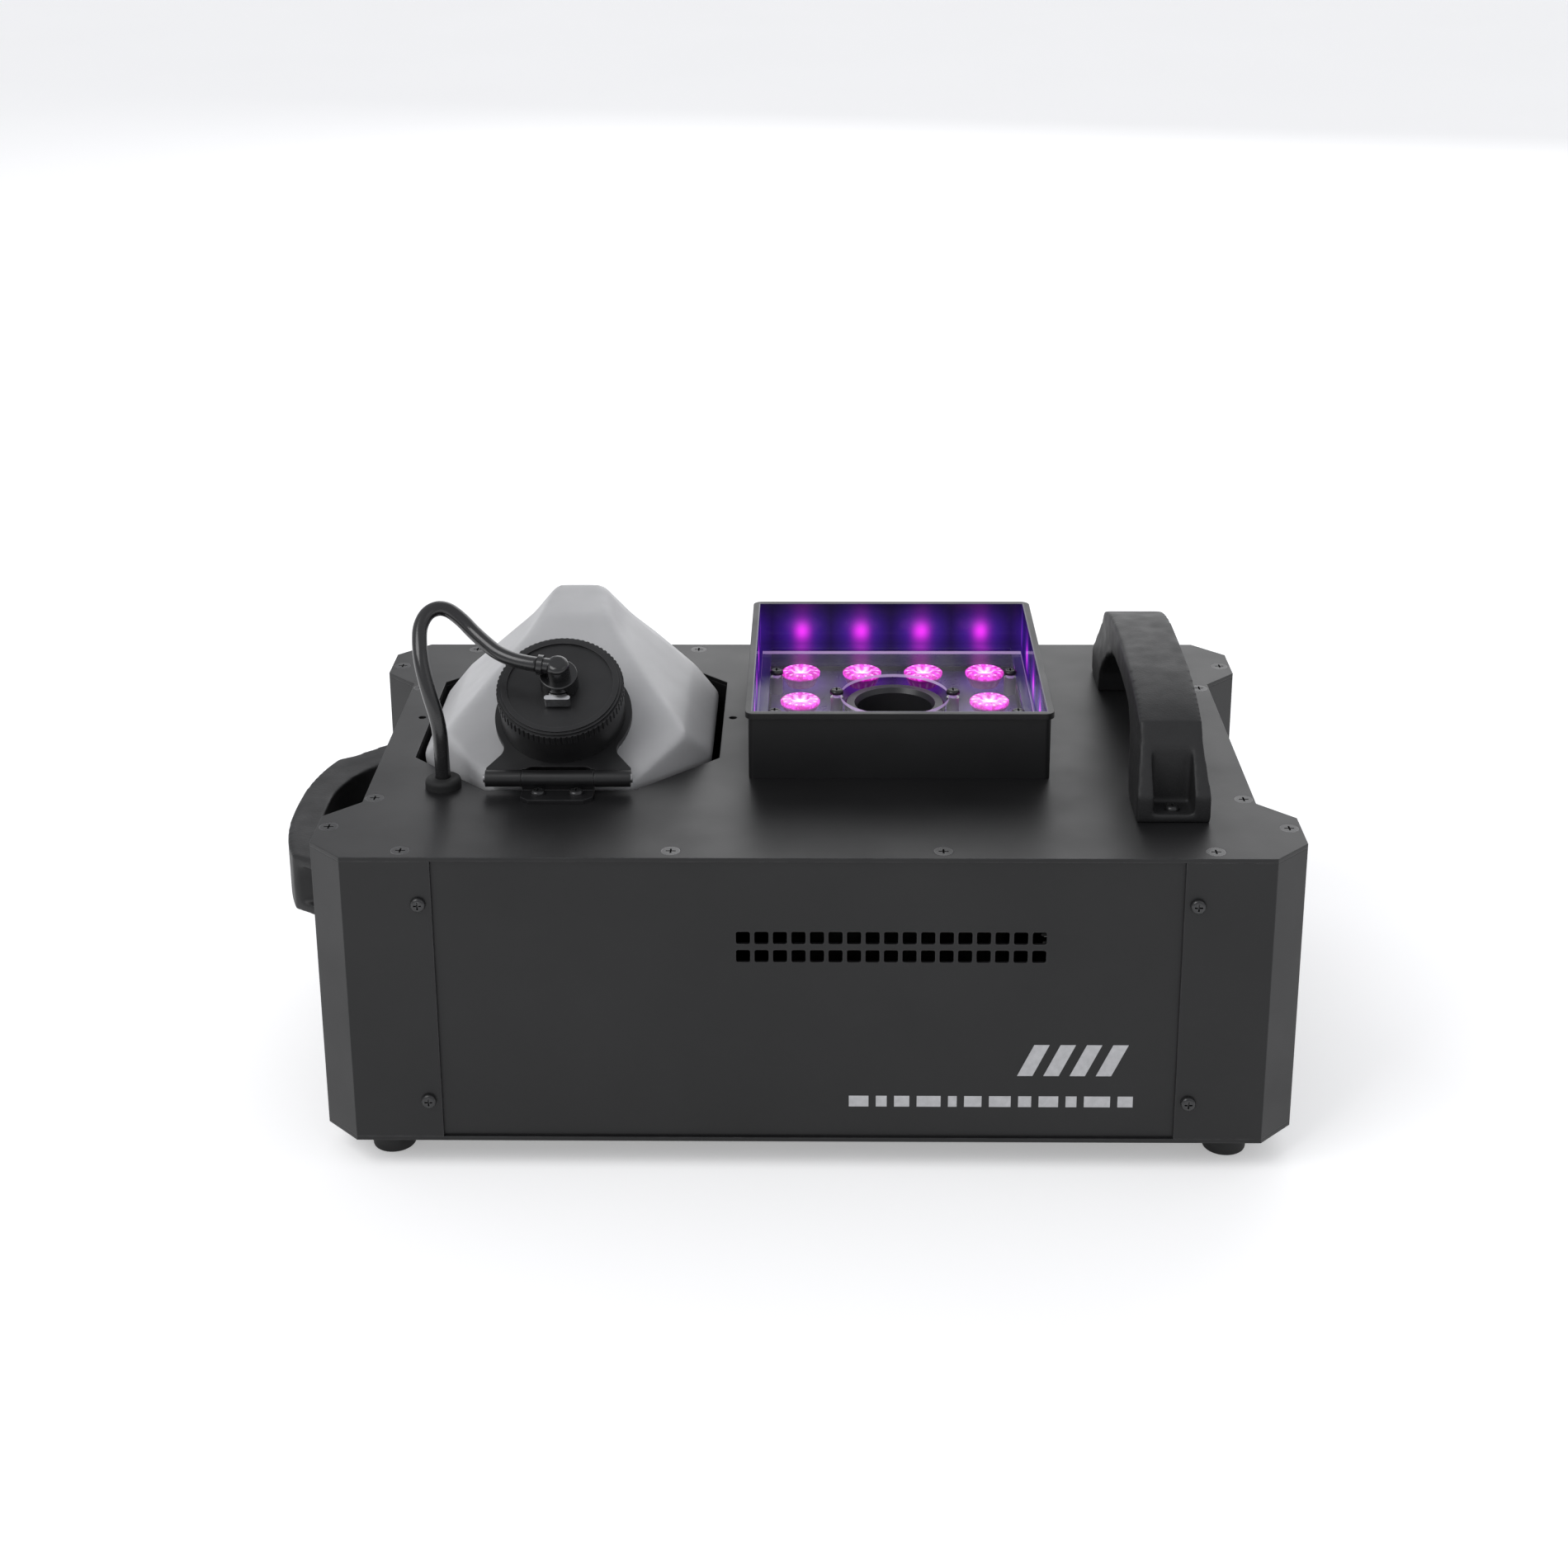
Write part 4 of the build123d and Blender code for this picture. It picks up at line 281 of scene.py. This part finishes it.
# %% Lens finish
STAR_R, BEAD_RING_R, BEAD_RING_WIDTH = 3.6 * MM, 8.2 * MM, 0.8 * MM
tree, shader = begin("lens", (0.10, 0.02, 0.10), 0.12, specular=0.5, coat=0.3)
x, y, z = axes(tree)
dx, dy = off_lens(tree, x, y)
squares = calc(tree, "ADD", calc(tree, "MULTIPLY", dx, dx), calc(tree, "MULTIPLY", dy, dy))
radius = calc(tree, "SQRT", squares)
angle = calc(tree, "ARCTAN2", dy, dx)
petals = calc(tree, "MULTIPLY_ADD", calc(tree, "COSINE", calc(tree, "MULTIPLY", angle, 6.0)), 0.35, 1.0)
core = bell(tree, radius, calc(tree, "MULTIPLY", petals, STAR_R))
patch = remap(tree, noise(tree, 420.0, 2.0), 0.0, 1.0, 0.42, 0.62)
beads = remap(tree, calc(tree, "COSINE", calc(tree, "MULTIPLY", angle, 14.0)), 0.0, 0.55, 0.3, 0.9)
off_ring = calc(tree, "SUBTRACT", radius, BEAD_RING_R)
rim_dots = calc(tree, "MULTIPLY", bell(tree, off_ring, BEAD_RING_WIDTH), beads)
white = calc(tree, "MINIMUM", calc(tree, "ADD", core, rim_dots), 1.0)
cup = mix(tree, patch, (0.55, 0.006, 0.38), (1.0, 0.05, 0.90))
lit = mix(tree, white, cup, (1.6, 1.0, 1.7))
on_face = remap(tree, z, 0.05, 1.0, LENS_TOP - 3.0 * MM, LENS_TOP - 1.6 * MM)
tree.links.new(mix(tree, on_face, (0.02, 0.001, 0.03), lit), shader.inputs["Emission Color"])
shader.inputs["Emission Strength"].default_value = 1.25
grain(tree, shader, 900.0, 0.00012, 0.4)

# %% Board finish
tree, shader = begin("board", (0.008, 0.008, 0.014), 0.35, specular=0.45)
mottle(tree, shader, (0.010, 0.012, 0.016), 0.3, 120.0, (0.25, 0.45))
x, y, z = axes(tree)
dx, dy = off_lens(tree, x, y)
# Painted glow: a faint violet pool of light on the board's top round each lens.
near_lens = calc(tree, "MULTIPLY", bell(tree, dx, 0.014), bell(tree, dy, 0.016))
on_top = calc(tree, "GREATER_THAN", z, LENS_TOP - 10 * MM)
lens_glow_haze = calc(tree, "MULTIPLY", calc(tree, "MULTIPLY", near_lens, 0.22), on_top)
tree.links.new(mix(tree, lens_glow_haze, DARK, (0.30, 0.02, 1.0)), shader.inputs["Emission Color"])
shader.inputs["Emission Strength"].default_value = 1.0
grain(tree, shader, 1100.0, 0.00005, 0.3)

# %% [markdown]
# ## Clear window
# A sheet of clear acrylic covers the lenses. Full refraction through thin sheet adds noise and
# bends nothing that the eye would notice, so the broad faces are simply almost see-through and
# shiny, and only the cut edges, picked out by their normal, are milky and give off a painted
# violet glow in place of the light that they catch.

# %% Window finish
tree, shader = begin("window", (0.62, 0.60, 0.66), 0.04, specular=0.6)
edge_on = calc(tree, "LESS_THAN", calc(tree, "ABSOLUTE", normal_axes(tree)[2]), 0.5)
smear = remap(tree, noise(tree, 35.0, 5.0, 0.65, (1, 0.3, 1)), 0.03, 0.10)
tree.links.new(calc(tree, "MULTIPLY_ADD", edge_on, 0.62, smear), shader.inputs["Alpha"])
tree.links.new(remap(tree, noise(tree, 90.0, 3.0), 0.03, 0.12), shader.inputs["Roughness"])
# Painted glow: the cut edges give off a faint violet light, as if lit from the lenses.
tree.links.new(mix(tree, edge_on, DARK, (0.23, 0.13, 0.33)), shader.inputs["Emission Color"])
shader.inputs["Emission Strength"].default_value = 1.0

# %% [markdown]
# ## Moulded plastics, rubber and metals
# The handles are dull, textured mouldings; the cap is a satin one; the hose is shiny rubber; the
# latch is chromed. They differ mainly in grain size, depth and gloss, so one table of numbers and
# one short function give them all, which keeps the differences easy to see and to tune.

# %% Table of finishes
# name, colour, rough range, metal, specular, coat, grain scale, grain depth, edge wear and painted edge
# highlight
FINISH_TABLE = (
    ("handle_plastic", (0.0105, 0.0105, 0.0110), (0.48, 0.60), 0.0, 0.40, 0.00, 1050, 0.00016, 0.0),
    ("screw_black", (0.0420, 0.0420, 0.0430), (0.22, 0.36), 0.7, 0.50, 0.00, 1900, 0.00003, 0.0004),
    ("rubber", (0.0140, 0.0140, 0.0140), (0.62, 0.78), 0.0, 0.35, 0.00, 900, 0.00010, 0.0),
    ("hose_rubber", (0.0100, 0.0100, 0.0105), (0.20, 0.30), 0.0, 0.50, 0.25, 700, 0.00004, 0.0),
    ("cap_plastic", (0.0110, 0.0110, 0.0115), (0.34, 0.46), 0.0, 0.42, 0.00, 1300, 0.00006, 0.0005),
    ("coupling_plastic", (0.0090, 0.0090, 0.0095), (0.16, 0.28), 0.0, 0.50, 0.20, 1500, 0.00003, 0.0),
    ("chrome", (0.6200, 0.6200, 0.6300), (0.08, 0.20), 1.0, 0.50, 0.00, 2400, 0.00001, 0.0),
    ("nozzle_metal", (0.0240, 0.0240, 0.0260), (0.30, 0.42), 0.3, 0.45, 0.00, 1400, 0.00004, 0.0006),
    ("inner_steel", (0.3300, 0.3300, 0.3350), (0.30, 0.46), 0.9, 0.50, 0.00, 1200, 0.00003, 0.0),
    ("aluminium", (0.4200, 0.4200, 0.4300), (0.32, 0.48), 0.9, 0.50, 0.00, 1000, 0.00006, 0.0),
    ("brass", (0.6000, 0.4100, 0.1700), (0.22, 0.34), 1.0, 0.50, 0.00, 1600, 0.00002, 0.0),
    ("fan_plastic", (0.0130, 0.0130, 0.0130), (0.38, 0.50), 0.0, 0.45, 0.00, 1200, 0.00005, 0.0),
    ("socket_plastic", (0.0120, 0.0120, 0.0125), (0.24, 0.36), 0.0, 0.50, 0.10, 1400, 0.00004, 0.0),
    ("button_plastic", (0.0450, 0.0450, 0.0480), (0.40, 0.52), 0.0, 0.45, 0.00, 1500, 0.00005, 0.0),
    ("tube", (0.5000, 0.4900, 0.4500), (0.30, 0.42), 0.0, 0.45, 0.00, 900, 0.00004, 0.0),
)
for name, colour, rough, metal, specular, coat, scale, depth, edge_wear_and_sheen in FINISH_TABLE:
    tree, shader = begin(name, colour, rough[0], metal, specular, coat)
    mottle(tree, shader, colour, 0.22, 40.0, rough, edge_wear_and_sheen)
    grain(tree, shader, scale, depth, 0.55, 3.0)
print("finishes:", len(FINISHES))

# %% [markdown]
# ## Bottle plastic and display
# The bottle is natural, blow-moulded plastic: light grey, cloudy, a little see-through where the
# wall is thin. Light spreads inside it, so a small share of subsurface scattering softens the
# facets. The display behind its tinted cover gives off a faint row of plain bars.

# %% Bottle and display finishes
BOTTLE_GREY = (0.43, 0.43, 0.435)
tree, shader = begin("bottle_plastic", BOTTLE_GREY, 0.36, specular=0.38)
mottle(tree, shader, BOTTLE_GREY, 0.05, 26.0, (0.32, 0.44))
shader.inputs["Subsurface Weight"].default_value = 0.35
shader.inputs["Subsurface Radius"].default_value = (1.0, 1.0, 1.0)
shader.inputs["Subsurface Scale"].default_value = 0.006
grain(tree, shader, 380.0, 0.00010, 0.30, 3.0)

tree, shader = begin("display", (0.006, 0.008, 0.012), 0.08, specular=0.5, coat=0.4)
x, y, z = axes(tree)
cell = calc(tree, "FRACT", calc(tree, "MULTIPLY", x, 160.0))
in_row = calc(tree, "LESS_THAN", calc(tree, "ABSOLUTE", calc(tree, "SUBTRACT", z, 0.1180)), 0.0040)
bars = calc(tree, "MULTIPLY", calc(tree, "LESS_THAN", cell, 0.7), in_row)
DISPLAY_DARK, DISPLAY_BLUE = (0.001, 0.002, 0.006), (0.01, 0.05, 0.12)
tree.links.new(mix(tree, bars, DISPLAY_DARK, DISPLAY_BLUE), shader.inputs["Emission Color"])
shader.inputs["Emission Strength"].default_value = 1.0
tree.links.new(remap(tree, noise(tree, 120.0, 3.0), 0.06, 0.14), shader.inputs["Roughness"])

# %% [markdown]
# ## Dress the frame
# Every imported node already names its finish, so its slots can be filled by name. A node whose
# name isn't in the table would be left plain, so the cell prints any that were missed.

# %% Assign finishes by name
missed = []
for node_name, node in NODES.items():
    for material_slot in node.material_slots:
        wanted = material_slot.material.name.split(".")[0]
        if wanted in FINISHES:
            material_slot.material = FINISHES[wanted]
        else:
            missed.append((node_name, wanted))
print("without a finish:", missed)

# %% [markdown]
# ## Mesh helpers
# Several parts are moulded with soft edges. A Bevel modifier rounds only clean edges, so these
# parts are remeshed into small even squares and then smoothed: the flats stay flat and every
# edge rolls over by about the same radius, as it does on a real moulding.

# %% Mesh helpers
def new_piece(name, mesh, finish):
    """A linked object for this mesh with one finish."""
    piece = bpy.data.objects.new(name, mesh)
    bpy.context.scene.collection.objects.link(piece)
    mesh.materials.clear()
    mesh.materials.append(FINISHES[finish])
    return piece


def settle(piece):
    """Writes the piece's modifiers into its mesh."""
    bpy.context.view_layer.update()
    shaped = piece.evaluated_get(bpy.context.evaluated_depsgraph_get())
    mesh = bpy.data.meshes.new_from_object(shaped)
    piece.modifiers.clear()
    piece.data = mesh
    return mesh


def soften(piece, cell, rounds):
    """Remeshes to squares of `cell` metres and smooths, so that every edge is rounded."""
    remesh = piece.modifiers.new("squares", "REMESH")
    remesh.mode, remesh.voxel_size, remesh.use_smooth_shade = "VOXEL", cell, True
    smooth = piece.modifiers.new("round_over", "SMOOTH")
    smooth.factor, smooth.iterations = 0.5, rounds
    mesh = settle(piece)
    mesh.shade_smooth()
    return mesh


def prism(outline, start, stop, place):
    """Closed prism between two planes; place(u, v, w) turns outline and depth into a point."""
    shape = bmesh.new()
    near = [shape.verts.new(place(u, v, start)) for u, v in outline]
    far = [shape.verts.new(place(u, v, stop)) for u, v in outline]
    shape.faces.new(near)
    shape.faces.new(far)
    for i in range(len(near)):
        j = (i + 1) % len(near)
        shape.faces.new((near[i], near[j], far[j], far[i]))
    bmesh.ops.recalc_face_normals(shape, faces=shape.faces)
    mesh = bpy.data.meshes.new("prism")
    shape.to_mesh(mesh)
    shape.free()
    return mesh


def combine(piece, tool_mesh, operation):
    """Cuts or joins a closed tool with the piece."""
    tool = bpy.data.objects.new("tool", tool_mesh)
    bpy.context.scene.collection.objects.link(tool)
    step = piece.modifiers.new("step", "BOOLEAN")
    step.operation, step.object, step.solver = operation, tool, "EXACT"
    settle(piece)
    bpy.data.objects.remove(tool)


# %% [markdown]
# ## Tank bottle
# The bottle is a faceted blow moulding: an octagon in plan, a front face tilted to carry the
# neck, a narrow ridge on top, and sloping flanks. It could be drawn point by point, but three
# plain outlines (from above, from the side and from the front) describe it better. Each becomes a
# prism, and what all three share is the bottle. The part down in the well is a simple taper.

# %% Bottle body
TANK_X = -118.0
TANK_FRONT, TANK_BACK, TANK_HALF, TANK_CUT = -58.0, 108.0, 71.0, 39.0
TURN_IN_Z, RIDGE_Z, RIDGE_Y = 157.0, 220.0, 60.0
FACET_FOOT_Z, RIDGE_FRONT_Y = 160.0, 34.0
BOTTLE_FOOT_Z = 63.5


def octagon(half, front, back, cut):
    """Outline from above, in millimetres."""
    side = [(half - cut, front), (half, front + cut), (half, back - cut), (half - cut, back)]
    return [(TANK_X + x, y) for x, y in side] + [(TANK_X - x, y) for x, y in reversed(side)]


def from_above(u, v, w):
    return (u * MM, v * MM, w * MM)


def from_side(u, v, w):
    return (w * MM, u * MM, v * MM)


def from_front(u, v, w):
    return (u * MM, w * MM, v * MM)


ridge_front_z = FACET_FOOT_Z + (RIDGE_FRONT_Y - TANK_FRONT) * math.tan(math.radians(30))
plan = octagon(TANK_HALF, TANK_FRONT, TANK_BACK, TANK_CUT)
side_view = [(TANK_FRONT - 2, TURN_IN_Z), (TANK_FRONT - 2, FACET_FOOT_Z), (TANK_FRONT, FACET_FOOT_Z),
             (RIDGE_FRONT_Y, ridge_front_z), (RIDGE_Y, RIDGE_Z), (RIDGE_Y + 12, RIDGE_Z - 3),
             (94.0, RIDGE_Z - 26), (117.0, TURN_IN_Z + 4), (117.0, TURN_IN_Z)]
ROOF_FALL, TANK_REAR = 22.0, 117.0
half_front = [(11.5, RIDGE_Z), (24.0, RIDGE_Z - 15), (58.0, RIDGE_Z - 44), (TANK_HALF, FACET_FOOT_Z),
              (TANK_HALF, TURN_IN_Z - ROOF_FALL - 1)]
front_view = [(TANK_X + x, z) for x, z in half_front]
front_view += [(TANK_X - x, z) for x, z in reversed(half_front)]

bottle = new_piece("tank_bottle_soft", prism(plan, TURN_IN_Z, RIDGE_Z + 1, from_above), "bottle_plastic")
combine(bottle, prism(side_view, TANK_X - 80, TANK_X + 80, from_side), "INTERSECT")
roof = new_piece("roof", prism(front_view, -70, RIDGE_Y + 0.01, from_front), "bottle_plastic")
roof_back = prism(front_view, RIDGE_Y, TANK_REAR, from_front)
for vertex in list(roof_back.vertices)[len(front_view):]:
    if vertex.co.z > TURN_IN_Z * MM:
        vertex.co.z -= ROOF_FALL * MM
combine(roof, roof_back, "UNION")
combine(bottle, roof.data.copy(), "INTERSECT")
bpy.data.objects.remove(roof)
print("bottle top faces:", len(bottle.data.polygons))

# %% Taper and shoulder
taper = prism(plan, TURN_IN_Z + 0.05, BOTTLE_FOOT_Z, from_above)
foot = octagon(46.0, -48.0, 60.0, 25.0)
for vertex, (u, v) in zip(list(taper.vertices)[len(plan):], foot):
    vertex.co.x, vertex.co.y = u * MM, v * MM
combine(bottle, taper, "UNION")

NECK_AXIS = Vector((0, -0.5, math.sqrt(0.75)))
NECK_ROOT = Vector((TANK_X, -31.02, 184.75)) * MM
NECK_ACROSS = NECK_AXIS.cross(Vector((1, 0, 0)))
SHOULDER_R = 27.0
RING_SIDES = 48
ring_turns = [math.tau * i / RING_SIDES for i in range(RING_SIDES)]
ring = [(SHOULDER_R * math.cos(turn), SHOULDER_R * math.sin(turn)) for turn in ring_turns]


def on_neck(u, v, w):
    """A point by its place across and along the neck, from millimetres."""
    return NECK_ROOT + (Vector((u, 0, 0)) + NECK_ACROSS * v + NECK_AXIS * w) * MM


combine(bottle, prism(ring, -16.0, -1.8, on_neck), "UNION")
soften(bottle, 2.0 * MM, 12)
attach(bottle, "tank")
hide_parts("tank_bottle")
print("bottle faces:", len(bottle.data.polygons))

# %% [markdown]
# ## Carry handles
# Both handles are thick arched mouldings with rolled edges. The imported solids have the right
# outline with sharp edges, so each is copied, remeshed and smoothed with the helper above.

# %% Handles
for part in ("top_handle", "side_handle"):
    handle = new_piece(part + "_moulded", NODES[part].data.copy(), "handle_plastic")
    soften(handle, 1.0 * MM, 7)
    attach(handle, "chassis")
    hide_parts(part)
    print(part, "faces:", len(handle.data.polygons))

# %% [markdown]
# ## Feed hose
# A short rubber hose rises from the grommet, arches over and drops onto the elbow of the cap. A
# NURBS curve with a few given points gives the free bend that such a hose takes. The tube
# itself is a mesh wound round that line. The real hose bends when the tank swings out.

# %% Hose line
HOSE_R = 3.6 * MM
FEED_ROUTE = [
    (-173.5, -57.0, 159.0),
    (-173.5, -57.0, 175.0),
    (-174.2, -57.0, 191.5),
    (-178.7, -55.0, 206.7),
    (-182.2, -50.0, 218.9),
    (-183.8, -43.6, 227.0),
    (-184.2, -36.6, 233.2),
    (-180.8, -30.6, 238.2),
    (-173.8, -27.8, 239.2),
    (-166.2, -29.4, 234.4),
    (-157.8, -34.0, 226.8),
    (-142.2, -46.26, 218.8),
    (-127.38, -48.29, 217.62),
]
line_data = bpy.data.curves.new("feed_line", "CURVE")
line_data.dimensions, line_data.resolution_u = "3D", 16
spline = line_data.splines.new("NURBS")
spline.points.add(len(FEED_ROUTE) - 1)
for point, place in zip(spline.points, FEED_ROUTE):
    point.co = (*(Vector(place) * MM), 1)
spline.order_u, spline.use_endpoint_u = 3, True
line_object = bpy.data.objects.new("feed_line", line_data)
bpy.context.scene.collection.objects.link(line_object)
bpy.context.view_layer.update()
shaped_line = line_object.evaluated_get(bpy.context.evaluated_depsgraph_get())
line_mesh = bpy.data.meshes.new_from_object(shaped_line)
hose_path = [vertex.co.copy() for vertex in line_mesh.vertices]
bpy.data.objects.remove(line_object)


# %% Hose tube
def wind_tube(name, path, radius, sides, finish):
    """A closed round tube along a list of points, turned as little as possible on its way."""
    shape = bmesh.new()
    rings = []
    side = (path[1] - path[0]).orthogonal().normalized()
    for i, centre in enumerate(path):
        along = (path[min(i + 1, len(path) - 1)] - path[max(i - 1, 0)]).normalized()
        side = (side - along * side.dot(along)).normalized()
        other = along.cross(side)
        turns = [math.tau * k / sides for k in range(sides)]
        spokes = [math.cos(turn) * side + math.sin(turn) * other for turn in turns]
        rings.append([shape.verts.new(centre + radius * spoke) for spoke in spokes])
    for first, second in zip(rings, rings[1:]):
        for k in range(sides):
            m = (k + 1) % sides
            shape.faces.new((first[k], first[m], second[m], second[k]))
    shape.faces.new(list(reversed(rings[0])))
    shape.faces.new(rings[-1])
    mesh = bpy.data.meshes.new(name)
    shape.to_mesh(mesh)
    shape.free()
    mesh.shade_smooth()
    return new_piece(name, mesh, finish)


hose = wind_tube("feed_hose_tube", hose_path, HOSE_R, 28, "hose_rubber")
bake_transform(hose)
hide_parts("feed_hose")

# %% [markdown]
# ## Printed marks
# Light-grey print sits low on the front. This copy keeps only its place and weight, as a plain
# group of slanted bars and a row of short dashes. They are thin plates a little off the metal,
# since a decal needs no image when it is only bars.

# %% Print finish and bars
tree, shader = begin("print_grey", (0.42, 0.42, 0.43), 0.5, specular=0.3)
mottle(tree, shader, (0.42, 0.42, 0.43), 0.10, 300.0, (0.45, 0.6))
grain(tree, shader, 1500.0, 0.00004, 0.3)
PRINT_LIFT, PRINT_T = 0.05 * MM, 0.10 * MM


def bars_piece(name, outlines, place, body):
    """One piece of thin plates, each from its outline."""
    shape = bmesh.new()
    for outline in outlines:
        plate = prism(outline, PRINT_LIFT, PRINT_LIFT + PRINT_T, place)
        shape.from_mesh(plate)
        bpy.data.meshes.remove(plate)
    mesh = bpy.data.meshes.new(name)
    shape.to_mesh(mesh)
    shape.free()
    piece = new_piece(name, mesh, "print_grey")
    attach(piece, body)
    print(name, "bars:", len(outlines))
    return piece


FRONT_Y = -133.5
DASH_WIDTHS = (9, 5, 7, 11, 4, 8, 10, 6, 9, 5, 12, 7)
DASH_START, DASH_GAP, DASH_LOW, DASH_HIGH = 19.0, 3.4, 32.8, 38.4
dashes, start = [], DASH_START
for width in DASH_WIDTHS:
    stop = start + width
    dashes.append([(start, DASH_LOW), (stop, DASH_LOW), (stop, DASH_HIGH), (start, DASH_HIGH)])
    start = stop + DASH_GAP
SLANT_LOW, SLANT_HIGH, SLANT_W, SLANT_LEAN = 49.0, 65.0, 7.0, 7.5
slants = []
for x in (96.0, 108.0, 120.0, 132.0):
    foot_line = [(x, SLANT_LOW), (x + SLANT_W, SLANT_LOW)]
    slants.append(foot_line + [(x + SLANT_W + SLANT_LEAN, SLANT_HIGH), (x + SLANT_LEAN, SLANT_HIGH)])
bars_piece("front_print", dashes + slants, lambda u, v, w: (u * MM, FRONT_Y * MM - w, v * MM), "chassis")

# %% [markdown]
# ## Stage and light
# The machine stands on a plain pale floor in soft, even studio light. Far behind it the floor
# slopes up, as studio paper does. A large lamp on the left shapes the front and the bottle, one
# behind puts the sheen on the top plate, a faint one fills from the right, and a pale world does
# the rest, so that the shadow stays faint.

# %% Floor, world and lamps
FLOOR_HALF, SWEEP_START, SWEEP_RISE = 14.0, 12.0, 3.5
floor_shape = bmesh.new()
bmesh.ops.create_grid(floor_shape, x_segments=8, y_segments=8, size=FLOOR_HALF)
floor_mesh = bpy.data.meshes.new("floor")
floor_shape.to_mesh(floor_mesh)
floor_shape.free()
for vertex in floor_mesh.vertices:
    if vertex.co.y > SWEEP_START:
        vertex.co.z = SWEEP_RISE
tree, shader = begin("floor", (0.86, 0.86, 0.86), 0.7, specular=0.1)
mottle(tree, shader, (0.86, 0.86, 0.86), 0.01, 2.0, (0.65, 0.75))
shader.inputs["Emission Color"].default_value = (1, 1, 1, 1)
shader.inputs["Emission Strength"].default_value = 0.34
floor = new_piece("floor", floor_mesh, "floor")

world = bpy.data.worlds.new("studio")
bpy.context.scene.world = world
world.use_nodes = True
world.node_tree.nodes["Background"].inputs[0].default_value = (0.95, 0.96, 1.0, 1)
world.node_tree.nodes["Background"].inputs[1].default_value = 0.62


def lamp(name, place, target, size, power, tint=(1, 1, 1)):
    """A square soft lamp aimed at a point."""
    data = bpy.data.lights.new(name, "AREA")
    data.size, data.energy, data.color = size, power, tint
    lamp_object = bpy.data.objects.new(name, data)
    lamp_object.location = place
    lamp_object.rotation_euler = (Vector(target) - Vector(place)).to_track_quat("-Z", "Y").to_euler()
    bpy.context.scene.collection.objects.link(lamp_object)


lamp("key_lamp", (-1.3, -1.1, 1.9), (0, 0, 0.1), 1.4, 23)
lamp("fill_lamp", (1.6, -1.0, 1.3), (0, 0, 0.1), 1.2, 1.5)
lamp("back_lamp", (0.55, 2.3, 1.5), (0.0, 0, 0.15), 2.4, 22)
